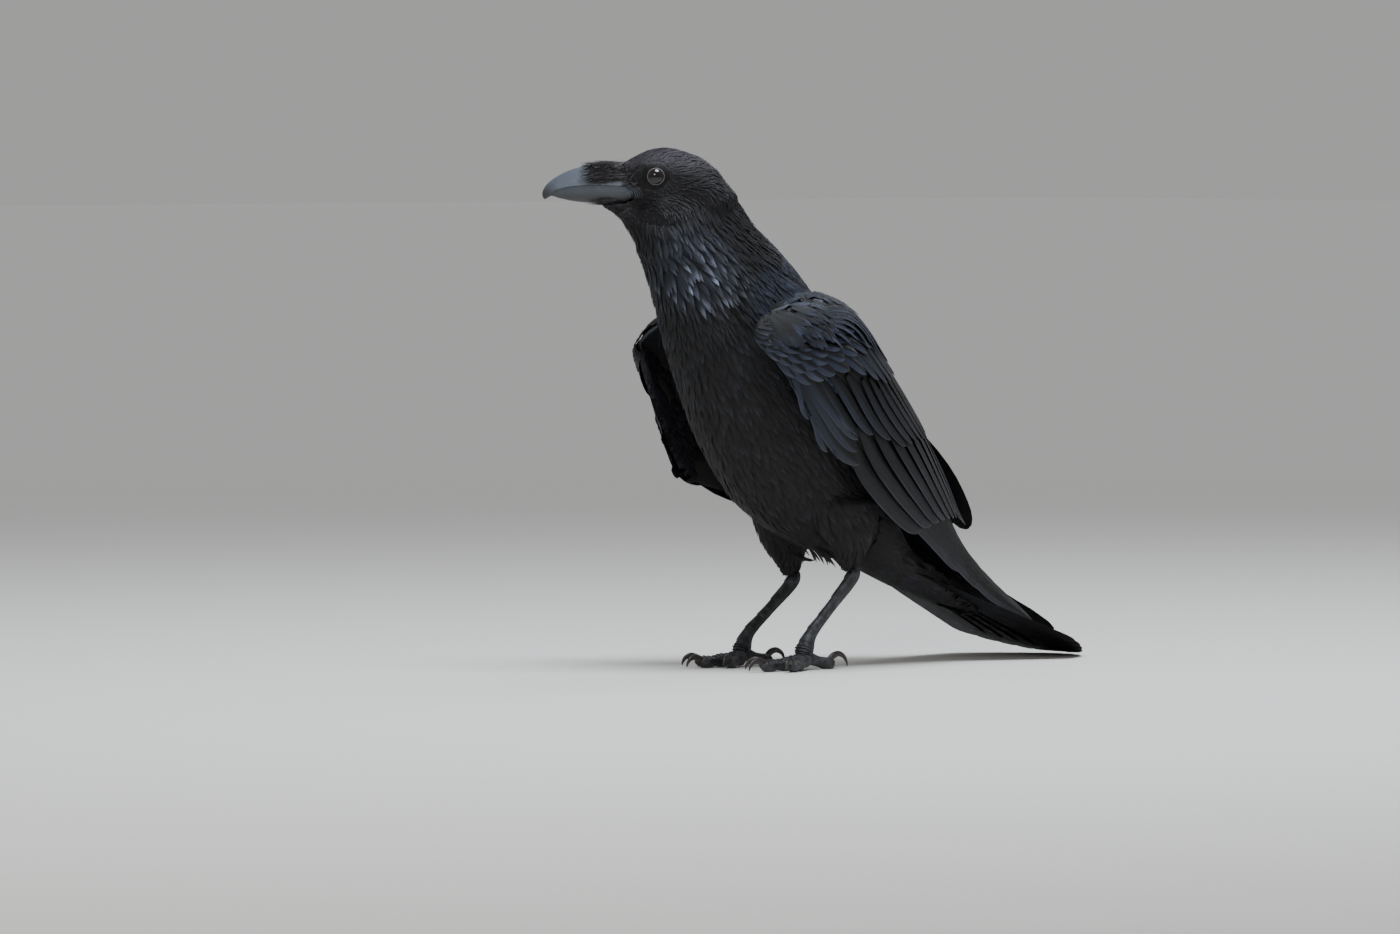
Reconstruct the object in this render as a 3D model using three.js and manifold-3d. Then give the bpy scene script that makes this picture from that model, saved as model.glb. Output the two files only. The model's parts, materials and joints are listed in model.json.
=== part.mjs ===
// A common raven standing at rest, life size: head turned to its right, wings folded, tail on the floor.
// Millimetres, +Z up. The bird faces -X and its left side is -Y.
// Feathered masses are lofts. Wings, tail and feet are built up from single feathers and toes.
import * as THREE from 'three';
import { LoftGeometry } from 'three/addons/geometries/LoftGeometry.js';
import { mergeVertices } from 'three/addons/utils/BufferGeometryUtils.js';
import Module from 'manifold-3d';

const wasm = await Module();
wasm.setup();

// ---- Driving dimensions ----

const GAP = 0.3;                 // clearance between neighbouring parts
const WELD = 1e-4;               // vertices nearer than this are one
const LEFT = -1;                 // side of the body along Y
const RIGHT = 1;
const UP = new THREE.Vector3(0, 0, 1);

const HEAD_PLACE = [-115, 8, 376];
const HEAD_TURN = -43;           // degrees about Z, towards the bird's right
const EYE_RADIUS = 8.5;
const EYE_SPOT = [-14.6, 13.6, 7];   // along, out from the middle, up, from the head's centre
const EYE_RIM = 7.1;             // radius of the opening between the lids
const EYE_CLEARANCE = 0.8;       // the cup's facets stay clear of the ball's
const EYE_OUTWARD = 13;          // from the eyeball's middle to well outside the head
const EYE_FLARE = 4;             // how much wider the opening is out there
const EYE_SIDES = 12;
const EYE_RINGS = 7;
const EYE_ARC_STEPS = 5;

const NECK_BASE = [-66, 0, 290];
const NECK_BASE_TILT = 34;       // degrees between the cut at the neck's base and the floor
const NECK_TOP = [2, 0, -27];    // from the head's centre
const NECK_TOP_TILT = 24;

const TAIL_ROOT = [84, 0, 88];
const TAIL_LENGTH = 240;
const TAIL_DROP = 21.7;          // degrees below level
const TAIL_FEATHERS = 12;
const TAIL_FAN = 13.5;           // degrees from the middle to the outermost feather
const TAIL_FEATHER_WIDTH = 30;
const TAIL_STEP = 0.9;           // height from one feather to the next

const TOE_LENGTHS = { middle: 50, inner: 39, outer: 41, hind: 27 };
const TOE_TURNS = { middle: 0, inner: 27, outer: -27, hind: 180 };
const CLAW_LENGTHS = { middle: 15, inner: 14, outer: 13, hind: 18 };
const TOE_PADS = { middle: 3, inner: 2, outer: 3, hind: 1 };
const TOE_RADIUS = 4.6;

const COLOURS = {
  plumage: { color: 0x15151b, roughness: 0.6, metalness: 0 },
  flight: { color: 0x1a191e, roughness: 0.55, metalness: 0 },
  bill: { color: 0x3c434d, roughness: 0.38, metalness: 0 },
  leg: { color: 0x23242a, roughness: 0.6, metalness: 0 },
  claw: { color: 0x2a211d, roughness: 0.4, metalness: 0 },
  eye: { color: 0x120d0a, roughness: 0.05, metalness: 0 },
};

// ---- Small tools ----

const radians = THREE.MathUtils.degToRad;
const lerp = THREE.MathUtils.lerp;

function vector(place) {
  return new THREE.Vector3(...place);
}

function curve(places) {
  return new THREE.CatmullRomCurve3(places.map(vector));
}

function toSolid(geometry) {
  const bare = new THREE.BufferGeometry();
  bare.setAttribute('position', geometry.attributes.position);
  bare.setIndex(geometry.index);
  const welded = mergeVertices(bare, WELD);
  return new wasm.Manifold(new wasm.Mesh({
    numProp: 3,
    vertProperties: new Float32Array(welded.attributes.position.array),
    triVerts: new Uint32Array(welded.index.array),
  }));
}

function toGeometry(solid) {
  const { vertProperties, triVerts } = solid.getMesh();
  const geometry = new THREE.BufferGeometry();
  geometry.setAttribute('position', new THREE.BufferAttribute(vertProperties, 3));
  geometry.setIndex(new THREE.BufferAttribute(triVerts, 1));
  geometry.computeVertexNormals();
  return geometry;
}

function joined(solids) {
  return solids.reduce((whole, piece) => whole.add(piece));
}

// The largest body that a join or cut leaves, without crumbs or sealed pockets.
function mainBody(solid) {
  const bodies = solid.decompose();
  return bodies.reduce((largest, next) => (next.volume() > largest.volume() ? next : largest));
}

// The part of a solid on the side of a plane that the normal points to, less half a gap.
function beyond(solid, place, normal) {
  const offset = vector(place).dot(vector(normal)) + GAP / 2;
  return solid.trimByPlane(normal, offset);
}

function opposite(direction) {
  return direction.map((value) => -value);
}

// A closed ring of points: half-width to each side, and its own height above and below.
function ring(centre, side, up, size, sides) {
  const points = [];
  for (let i = 0; i < sides; i++) {
    const angle = (i / sides) * Math.PI * 2;
    const height = Math.sin(angle) > 0 ? size.y : size.z;
    points.push(centre.clone()
      .addScaledVector(side, Math.cos(angle) * size.x)
      .addScaledVector(up, Math.sin(angle) * height));
  }
  return points;
}

// A loft through rows of { at, turn, wide, above, below }, from the front of the bird to its back.
function loft(rows, steps, sides, grow = 0) {
  const spine = curve(rows.map((row) => row.at));
  const sizes = curve(rows.map((row) => [row.wide, row.above, row.below]));
  const turns = curve(rows.map((row) => [row.turn ?? 0, 0, 0]));
  const sections = [];
  for (let i = 0; i <= steps; i++) {
    const t = i / steps;
    const turn = radians(turns.getPoint(t).x);
    const side = new THREE.Vector3(-Math.sin(turn), Math.cos(turn), 0);
    const along = spine.getTangent(t);
    const up = new THREE.Vector3().crossVectors(along, side).normalize();
    const size = sizes.getPoint(t).addScalar(grow);
    const endShift = i === 0 ? -grow : i === steps ? grow : 0;
    const centre = spine.getPoint(t).addScaledVector(along, endShift);
    sections.push(ring(centre, side, up, size, sides));
  }
  return new LoftGeometry(sections, { capStart: true, capEnd: true });
}

// ---- Neck and trunk: one feathered form, parted afterwards ----

const BODY_ROWS = [
  { at: [-116, 8, 368], turn: -42, wide: 22, above: 29, below: 36 },
  { at: [-108, 6, 348], turn: -36, wide: 30, above: 41, below: 47 },
  { at: [-92, 2, 326], turn: -22, wide: 38, above: 44, below: 53 },
  { at: [-72, 0, 300], turn: -8, wide: 48, above: 52, below: 65 },
  { at: [-46, 0, 264], turn: 0, wide: 57, above: 60, below: 76 },
  { at: [-14, 0, 221], turn: 0, wide: 60, above: 60, below: 86 },
  { at: [20, 0, 175], turn: 0, wide: 57, above: 52, below: 84 },
  { at: [50, 0, 135], turn: 0, wide: 47, above: 38, below: 61 },
  { at: [80, 0, 103], turn: 0, wide: 33, above: 23, below: 28 },
  { at: [112, 0, 82], turn: 0, wide: 22, above: 9, below: 11 },
];
const BODY_STEPS = 15;
const BODY_SIDES = 16;

// ---- Head, in its own frame: bill towards -X ----

const HEAD_ROWS = [
  { at: [-41, 0, 1.5], wide: 12, above: 16, below: 14 },
  { at: [-32, 0, 2.5], wide: 17, above: 18.5, below: 17 },
  { at: [-20, 0, 3], wide: 20.5, above: 23.5, below: 21 },
  { at: [-5, 0, 3], wide: 22.5, above: 26.3, below: 25 },
  { at: [12, 0, 0], wide: 24, above: 25.3, below: 27 },
  { at: [28, 0, -9], wide: 23, above: 20.5, below: 27 },
  { at: [40, 0, -20], wide: 17, above: 15, below: 20 },
];
const HEAD_STEPS = 9;
const HEAD_SIDES = 16;

function headMatrix() {
  return new THREE.Matrix4().makeRotationZ(radians(HEAD_TURN)).setPosition(...HEAD_PLACE);
}

// The hollow that an eyeball sits in: a round cup whose rim flares outwards.
function eyeHollow(side) {
  const [along, out, up] = EYE_SPOT;
  const radius = EYE_RADIUS + EYE_CLEARANCE;
  const rimAngle = Math.acos(EYE_RIM / radius);
  const profile = [new THREE.Vector2(0, -radius)];
  for (let i = 1; i <= EYE_ARC_STEPS; i++) {
    const angle = lerp(-Math.PI / 2, rimAngle, i / EYE_ARC_STEPS);
    profile.push(new THREE.Vector2(radius * Math.cos(angle), radius * Math.sin(angle)));
  }
  profile.push(new THREE.Vector2(EYE_RIM + EYE_FLARE, EYE_OUTWARD));
  profile.push(new THREE.Vector2(0, EYE_OUTWARD));
  const hollow = new THREE.LatheGeometry(profile, EYE_SIDES);
  if (side === LEFT) hollow.rotateX(Math.PI);
  hollow.translate(along, side * out, up);
  return toSolid(hollow);
}

function eyeball(side) {
  const [along, out, up] = EYE_SPOT;
  const ball = new THREE.SphereGeometry(EYE_RADIUS, EYE_SIDES, EYE_RINGS);
  ball.translate(along, side * out, up);
  return toSolid(ball);
}

// ---- Bill: two halves that meet along the cutting edge ----

const UPPER_BILL_ROWS = [
  { at: [-100.8, 0, -10.4], wide: 0.8, above: 1.2, below: 0.7 },
  { at: [-98, 0, -6], wide: 2.2, above: 4.4, below: 0.9 },
  { at: [-92, 0, -3], wide: 4.2, above: 7.6, below: 0.8 },
  { at: [-82, 0, -0.8], wide: 6.4, above: 11.4, below: 0.8 },
  { at: [-68, 0, 0.4], wide: 8.8, above: 14.6, below: 0.8 },
  { at: [-50, 0, 0.2], wide: 11.5, above: 17, below: 0.8 },
  { at: [-31, 0, -0.6], wide: 14, above: 17.5, below: 0.6 },
];
const LOWER_BILL_ROWS = [
  { at: [-96.5, 0, -6.6], wide: 1.3, above: 0.4, below: 1.6 },
  { at: [-92, 0, -4.4], wide: 3, above: 0.4, below: 5.4 },
  { at: [-82, 0, -2.2], wide: 5.2, above: 0.4, below: 9.6 },
  { at: [-68, 0, -1.1], wide: 7.6, above: 0.4, below: 12 },
  { at: [-50, 0, -1.3], wide: 10.2, above: 0.4, below: 12 },
  { at: [-31, 0, -2.2], wide: 13, above: 0.4, below: 10.8 },
];
const BILL_STEPS = 8;
const BILL_SIDES = 12;
const TUFT_STEPS = 4;
const TUFT_SIDES = 8;
// Stiff feathers over the root of the bill, and the beard under it.
const BRISTLE_ROWS = [
  { at: [-70, 0, 13.5], wide: 3, above: 1.6, below: 1.5 },
  { at: [-62, 0, 11.5], wide: 8.5, above: 5, below: 4 },
  { at: [-50, 0, 11], wide: 11, above: 7.3, below: 5 },
  { at: [-34, 0, 11], wide: 13, above: 8, below: 6 },
];
const CHIN_ROWS = [
  { at: [-57, 0, -15], wide: 3, above: 1.5, below: 1.5 },
  { at: [-49, 0, -15], wide: 7, above: 4, below: 4.5 },
  { at: [-40, 0, -17], wide: 10, above: 8, below: 9.5 },
  { at: [-26, 0, -24], wide: 16, above: 14, below: 20 },
];

function billHalf(rows, grow = 0) {
  return toSolid(loft(rows, BILL_STEPS, BILL_SIDES, grow));
}

function faceTuft(rows) {
  return toSolid(loft(rows, TUFT_STEPS, TUFT_SIDES));
}

// ---- Wings: a curved sheet given by three edges from wrist to tip, which its feathers follow ----

const WING_EDGES = {
  leading: [
    [-96, -62, 262], [-75, -74, 232], [-45, -75, 194], [-13, -73, 163], [34, -68, 134],
    [82, -60, 108], [136, -47, 77], [186, -35, 51], [243, -25, 27],
  ],
  crest: [
    [-98, -64, 269], [-53, -77, 258], [-3, -71, 248], [38, -67, 209], [77, -59, 170],
    [110, -50, 135], [147, -40, 93], [189, -31, 59], [246, -23, 30],
  ],
  trailing: [
    [-92, -61, 276], [-35, -56, 286], [33, -15, 280], [78, -9, 243], [117, -10, 197],
    [149, -12, 151], [168, -18, 106], [191, -27, 71], [246, -21, 33],
  ],
};
// The right wing hangs lower along its leading edge, and its tip crosses over the left one.
const RIGHT_DROOP = [
  [4, 10, -16], [-2, 6, -9], [-12, 4, -24], [-24, 4, -20], [-12, 2, -6],
  [0, 0, 0], [0, 0, 0], [0, 0, 0], [0, 0, 0],
];
const DROOP_SHARE = { leading: 1, crest: 0.6, trailing: 0.15 };
const RIGHT_TIP_SHIFT = [34, -33, -9];

function rightWingPlace(place, edge, station) {
  const last = RIGHT_DROOP.length - 1;
  const share = station === 0 ? 1 : DROOP_SHARE[edge];
  const tipShare = (station / last) ** 3;
  const mirrored = [place[0], -place[1], place[2]];
  return mirrored.map((value, axis) => (
    value + share * RIGHT_DROOP[station][axis] + tipShare * RIGHT_TIP_SHIFT[axis]
  ));
}

function wingSheet(side) {
  const edges = {};
  for (const [name, places] of Object.entries(WING_EDGES)) {
    const own = side === LEFT ? places : places.map((place, i) => rightWingPlace(place, name, i));
    edges[name] = curve(own);
  }
  const flat = (s, t) => {
    const low = edges.leading.getPoint(s);
    const middle = edges.crest.getPoint(s);
    const high = edges.trailing.getPoint(s);
    return low.multiplyScalar((1 - t) * (1 - 2 * t))
      .addScaledVector(middle, 4 * t * (1 - t))
      .addScaledVector(high, t * (2 * t - 1));
  };
  const nudge = 0.02;
  const normal = (s, t) => {
    const s0 = THREE.MathUtils.clamp(s, nudge, 1 - nudge);
    const alongWing = flat(s0 + nudge, t).sub(flat(s0 - nudge, t));
    const acrossWing = flat(s0, t + nudge).sub(flat(s0, t - nudge));
    return alongWing.cross(acrossWing).normalize().multiplyScalar(-side);
  };
  return {
    normal,
    at: (s, t, lift = 0) => flat(s, t).addScaledVector(normal(s, t), lift),
  };
}

// One feather: a flat bar along a path, whose end is rounded to a blunt tip.
const TIP_START = 0.72;
const TIP_BLUNT = 0.16;
const CORNERS = [[-1, -1], [1, -1], [1, 1], [-1, 1]];

function featherTaper(along) {
  const nearTip = THREE.MathUtils.clamp((along - TIP_START) / (1 - TIP_START), 0, 1);
  return Math.max(Math.sqrt(1 - nearTip ** 2), TIP_BLUNT);
}

function feather(places, normals, width, thick) {
  const last = places.length - 1;
  const sections = places.map((place, i) => {
    const before = places[Math.max(i - 1, 0)];
    const after = places[Math.min(i + 1, last)];
    const along = after.clone().sub(before).normalize();
    const across = new THREE.Vector3().crossVectors(normals[i], along).normalize();
    const half = width / 2 * featherTaper(i / last);
    return CORNERS.map(([x, y]) => place.clone()
      .addScaledVector(across, x * half)
      .addScaledVector(normals[i], y * thick / 2));
  });
  return toSolid(new LoftGeometry(sections, { capStart: true, capEnd: true }));
}

const FEATHER_STEPS = 4;
const WING_FEATHER_THICK = 2;
const FEATHER_RISE = 0.7;        // height from one wing feather to the next

function wingFeather(sheet, { from, to, width, lift }) {
  const places = [];
  const normals = [];
  for (let i = 0; i <= FEATHER_STEPS; i++) {
    const s = lerp(from[0], to[0], i / FEATHER_STEPS);
    const t = lerp(from[1], to[1], i / FEATHER_STEPS);
    places.push(sheet.at(s, t, lift));
    normals.push(sheet.normal(s, t));
  }
  return feather(places, normals, width, WING_FEATHER_THICK);
}

const BLANKET_END = 0.62;
const BLANKET_STEPS = 6;
const BLANKET_ACROSS = 4;
const BLANKET_UNDER = 1.5;       // depth of its inner face below the sheet
const BLANKET_THIN = 2.7;
const ARM_THICK = 9;             // what the arm adds near the wrist
const WRIST_END = 0.09;

// The coverts and the arm beneath them, as one thick blanket.
function wingBlanket(sheet, side) {
  const sections = [];
  for (let i = 0; i <= BLANKET_STEPS; i++) {
    const s = BLANKET_END * i / BLANKET_STEPS;
    const wristShare = Math.sqrt(Math.min(s / WRIST_END, 1));
    const thick = BLANKET_THIN + ARM_THICK * wristShare * (1 - s / BLANKET_END);
    const outer = [];
    const inner = [];
    for (let j = 0; j <= BLANKET_ACROSS; j++) {
      const t = j / BLANKET_ACROSS;
      outer.push(sheet.at(s, t, thick - BLANKET_UNDER));
      inner.unshift(sheet.at(s, t, -BLANKET_UNDER));
    }
    const section = [...outer, ...inner];
    sections.push(side === LEFT ? section.reverse() : section);
  }
  return toSolid(new LoftGeometry(sections, { capStart: true, capEnd: true }));
}

const PRIMARY_TIPS = [0.78, 0.93, 1, 0.97, 0.89];
const PRIMARY_ROOT = 0.45;
const PRIMARY_WIDTH = 21;

function primaries(sheet) {
  return PRIMARY_TIPS.map((tip, i) => {
    const t = 0.1 + i * 0.17;
    return wingFeather(sheet, {
      from: [PRIMARY_ROOT, t / 2], to: [tip, t], width: PRIMARY_WIDTH, lift: -i * FEATHER_RISE,
    });
  });
}

const SECONDARY_COUNT = 5;
const SECONDARY_ROOT = 0.46;
const SECONDARY_WIDTH = 27;

function secondaries(sheet) {
  const pieces = [];
  for (let i = 0; i < SECONDARY_COUNT; i++) {
    const t = lerp(0.1, 0.9, i / (SECONDARY_COUNT - 1));
    pieces.push(wingFeather(sheet, {
      from: [SECONDARY_ROOT, t],
      to: [0.61 + 0.175 * t, t * 1.17],
      width: SECONDARY_WIDTH,
      lift: (i + 1) * FEATHER_RISE,
    }));
  }
  return pieces;
}

// Long coverts along the leading edge, whose tips stand clear of it: places on the sheet.
const EDGE_COVERTS = [
  { from: [0.1, 0.12], to: [0.33, -0.06], width: 15, lift: -1 },
  { from: [0.12, 0.16], to: [0.37, -0.03], width: 15, lift: -0.4 },
  { from: [0.14, 0.22], to: [0.4, 0.08], width: 15, lift: 0.2 },
];

function wing(side, keepOut) {
  const sheet = wingSheet(side);
  const coverts = EDGE_COVERTS.map((covert) => wingFeather(sheet, covert));
  const pieces = [wingBlanket(sheet, side), ...primaries(sheet), ...secondaries(sheet), ...coverts];
  return mainBody(joined(pieces).subtract(keepOut));
}

// ---- Tail: a shallow fan of flat feathers under its coverts ----

const TAIL_FEATHER_THICK = 1.8;
const TAIL_FEATHER_STEPS = 5;
const TAIL_ROOT_STEP = 1.5;      // from one feather to the next at the root
const TAIL_WEDGE = 44;           // how much shorter the outermost feather is
const TAIL_MIDDLE_STEP = 0.4;    // the two halves of the fan lie at their own heights
const TAIL_COVERT_ROWS = [
  { at: [6, 0, 2], wide: 27, above: 12, below: 15 },
  { at: [50, 0, -1], wide: 29, above: 7, below: 11 },
  { at: [95, 0, -3], wide: 24, above: 3, below: 6 },
  { at: [128, 0, -4], wide: 11, above: 1, below: 2 },
];

function tailFeather(i) {
  const middle = (TAIL_FEATHERS - 1) / 2;
  const outward = Math.abs(i - middle) / middle;
  const turn = radians(TAIL_FAN * (i - middle) / middle);
  const length = TAIL_LENGTH - TAIL_WEDGE * outward ** 1.6;
  const drop = outward * middle * TAIL_STEP + (i < middle ? TAIL_MIDDLE_STEP : 0);
  const places = [];
  for (let k = 0; k <= TAIL_FEATHER_STEPS; k++) {
    const reach = length * k / TAIL_FEATHER_STEPS;
    const sideways = reach * Math.sin(turn) + (i - middle) * TAIL_ROOT_STEP;
    places.push(new THREE.Vector3(reach * Math.cos(turn), sideways, -drop));
  }
  const normals = places.map(() => UP);
  return feather(places, normals, TAIL_FEATHER_WIDTH, TAIL_FEATHER_THICK);
}

function tail() {
  const pieces = [toSolid(loft(TAIL_COVERT_ROWS, 6, 14))];
  for (let i = 0; i < TAIL_FEATHERS; i++) pieces.push(tailFeather(i));
  return joined(pieces);
}

// ---- Legs ----

const LEGS = {
  [LEFT]: {
    name: 'left',
    hip: [26, -34, 132],
    knee: [29, -38, 104],
    heel: [31, -38, 71],
    ankle: [-16, -37, 23],
  },
  [RIGHT]: {
    name: 'right',
    hip: [28, 32, 128],
    knee: [31, 35, 98],
    heel: [37, 36, 65],
    ankle: [-13, 37, 21],
  },
};
const ANKLE_TILT = 18;           // degrees between the cut at the ankle and the floor
const ANKLE_DROP = 3;            // from the ankle's middle down to the cut

function thigh({ hip, knee, heel }) {
  const rows = [
    { at: hip, wide: 24, above: 34, below: 35 },
    { at: knee, wide: 19, above: 21, below: 27 },
    { at: [heel[0] - 3, heel[1], heel[2] + 11], wide: 9.5, above: 12, below: 12 },
    { at: [heel[0] - 4, heel[1], heel[2] + 2], wide: 6.6, above: 8, below: 8 },
  ];
  return toSolid(loft(rows, 6, 14));
}

// The bare shank, with its swollen heel and ankle.
function shank({ heel, ankle }, grow = 0) {
  const middle = heel.map((value, axis) => lerp(value, ankle[axis], 0.5));
  const rows = [
    { at: [heel[0] + 1, heel[1], heel[2] + 7], wide: 4, above: 4.6, below: 4.6 },
    { at: heel, wide: 5, above: 6, below: 5.6 },
    { at: middle, wide: 3.8, above: 4.7, below: 4.9 },
    { at: [ankle[0] + 4, ankle[1], ankle[2] + 5], wide: 4.6, above: 5.2, below: 5.4 },
    { at: [ankle[0] - 3, ankle[1], ankle[2] - 8], wide: 7.5, above: 7, below: 8 },
  ];
  return toSolid(loft(rows, 8, 10, grow));
}

// A toe in its foot's frame, ankle over the origin and sole on the floor, with a pad under each joint.
const TOE_STEPS = 6;
const TOE_SIDES = 6;
const PAD_SWELL = 0.5;
const END_PAD = 0.83;            // how far along the toe its last pad lies
const TOE_AXIS = 3.9;            // height of the toe's middle at its end
const TOE_RISE = 5.6;            // how much higher it is at the ankle

function toePlace(turn, out, height) {
  return [-out * Math.cos(radians(turn)), -out * Math.sin(radians(turn)), height];
}

function toe(name, side) {
  const turn = TOE_TURNS[name] * side;
  const rows = [];
  for (let i = 0; i <= TOE_STEPS; i++) {
    const reach = 1 - i / TOE_STEPS;
    const pad = PAD_SWELL * Math.cos((reach - END_PAD) * Math.PI * 2 * TOE_PADS[name]);
    const radius = TOE_RADIUS * (1.22 - 0.3 * reach) * (i === 0 ? 0.55 : 1);
    rows.push({
      at: toePlace(turn, TOE_LENGTHS[name] * reach, TOE_AXIS + TOE_RISE * (1 - reach) ** 2),
      turn,
      wide: radius + pad * 0.4,
      above: radius * 0.95,
      below: radius + pad,
    });
  }
  return toSolid(loft(rows, TOE_STEPS, TOE_SIDES));
}

// A claw grows from the end of its toe, arches over and points down at the floor.
const CLAW_ROOT = 2.5;           // how far it reaches back into the toe
const HIND_ARCH = 1.35;
const CLAW_PROFILE = [
  { reach: 1, height: 0.9, radius: 0.45 },
  { reach: 0.93, height: 4.2, radius: 1.3 },
  { reach: 0.7, height: 7.6, radius: 2 },
  { reach: 0.38, height: 8.4, radius: 2.5 },
  { reach: 0, height: 6, radius: 2.8 },
];

function claw(name, side, grow = 0) {
  const turn = TOE_TURNS[name] * side;
  const rows = CLAW_PROFILE.map(({ reach, height, radius }) => {
    const arched = name === 'hind' && reach > 0 && reach < 1;
    const out = TOE_LENGTHS[name] - CLAW_ROOT + CLAW_LENGTHS[name] * reach;
    return {
      at: toePlace(turn, out, arched ? height * HIND_ARCH : height),
      turn,
      wide: radius * 0.8,
      above: radius,
      below: radius,
    };
  });
  return toSolid(loft(rows, 5, 6, grow));
}

// ---- Assembly ----

const raven = new THREE.Group();

function addMesh(group, name, solid, look) {
  const material = new THREE.MeshStandardMaterial(COLOURS[look]);
  const mesh = new THREE.Mesh(toGeometry(solid), material);
  mesh.name = name;
  group.add(mesh);
}

function moved(solid, matrix) {
  return toSolid(toGeometry(solid).applyMatrix4(matrix));
}

function tiltedNormal(degrees) {
  return [-Math.sin(radians(degrees)), 0, Math.cos(radians(degrees))];
}

const headPlace = headMatrix();
const body = toSolid(loft(BODY_ROWS, BODY_STEPS, BODY_SIDES));
const headForm = moved(toSolid(loft(HEAD_ROWS, HEAD_STEPS, HEAD_SIDES)), headPlace);
const flesh = body.add(headForm);

const neckNormal = tiltedNormal(NECK_BASE_TILT);
const headNormal = vector(tiltedNormal(NECK_TOP_TILT)).transformDirection(headPlace).toArray();
const headCut = vector(NECK_TOP).applyMatrix4(headPlace).toArray();

const aboveBase = beyond(flesh, NECK_BASE, neckNormal);
addMesh(raven, 'trunk', beyond(flesh, NECK_BASE, opposite(neckNormal)), 'plumage');
addMesh(raven, 'neck', beyond(aboveBase, headCut, opposite(headNormal)), 'plumage');

const skull = moved(beyond(aboveBase, headCut, headNormal), headPlace.clone().invert());
const head = joined([skull, faceTuft(BRISTLE_ROWS), faceTuft(CHIN_ROWS)])
  .subtract(billHalf(UPPER_BILL_ROWS, GAP))
  .subtract(billHalf(LOWER_BILL_ROWS, GAP))
  .subtract(eyeHollow(LEFT))
  .subtract(eyeHollow(RIGHT));
const lowerBill = billHalf(LOWER_BILL_ROWS).subtract(billHalf(UPPER_BILL_ROWS, GAP));

const headGroup = new THREE.Group();
headGroup.position.set(...HEAD_PLACE);
headGroup.rotation.z = radians(HEAD_TURN);
raven.add(headGroup);
addMesh(headGroup, 'head', mainBody(head), 'plumage');
addMesh(headGroup, 'bill_upper', billHalf(UPPER_BILL_ROWS), 'bill');
addMesh(headGroup, 'bill_lower', mainBody(lowerBill), 'bill');
addMesh(headGroup, 'eye_left', eyeball(LEFT), 'eye');
addMesh(headGroup, 'eye_right', eyeball(RIGHT), 'eye');

const keepOut = toSolid(loft(BODY_ROWS, BODY_STEPS, BODY_SIDES, GAP));
addMesh(raven, 'wing_left', wing(LEFT, keepOut), 'flight');
addMesh(raven, 'wing_right', wing(RIGHT, keepOut), 'flight');

const tailPlace = new THREE.Matrix4().makeRotationY(radians(TAIL_DROP)).setPosition(...TAIL_ROOT);
const tailOnFloor = moved(tail(), tailPlace).subtract(keepOut).trimByPlane([0, 0, 1], 0);
addMesh(raven, 'tail', tailOnFloor, 'flight');

for (const side of [LEFT, RIGHT]) {
  const leg = LEGS[side];
  const toeNames = Object.keys(TOE_LENGTHS);
  const footPlace = new THREE.Matrix4().setPosition(leg.ankle[0], leg.ankle[1], 0);
  const footGroup = new THREE.Group();
  footGroup.position.setFromMatrixPosition(footPlace);
  raven.add(footGroup);

  const thighSolid = thigh(leg).subtract(keepOut).subtract(shank(leg, GAP));
  addMesh(raven, `thigh_${leg.name}`, mainBody(thighSolid), 'plumage');

  const toes = toeNames.map((name) => toe(name, side));
  const shankHere = moved(shank(leg), footPlace.clone().invert());
  const bare = joined([shankHere, ...toes]).trimByPlane([0, 0, 1], 0);
  const ankle = [0, 0, leg.ankle[2] - ANKLE_DROP];
  const ankleNormal = tiltedNormal(-ANKLE_TILT);
  const tarsus = beyond(bare, ankle, ankleNormal);
  const clawRoots = joined(toeNames.map((name) => claw(name, side, GAP)));
  const foot = beyond(bare, ankle, opposite(ankleNormal)).subtract(clawRoots);
  addMesh(footGroup, `tarsus_${leg.name}`, mainBody(tarsus), 'leg');
  addMesh(footGroup, `foot_${leg.name}`, mainBody(foot), 'leg');
  for (const name of toeNames) {
    addMesh(footGroup, `claw_${leg.name}_${name}`, claw(name, side), 'claw');
  }
}

// The origin is the middle of the bird's box, on the floor.
const box = new THREE.Box3().setFromObject(raven, true);
raven.position.set(-(box.min.x + box.max.x) / 2, -(box.min.y + box.max.y) / 2, -box.min.z);

export default raven;
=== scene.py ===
import json
import math

import bpy
import numpy as np
from mathutils import Matrix, Vector
from mathutils.bvhtree import BVHTree

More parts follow.
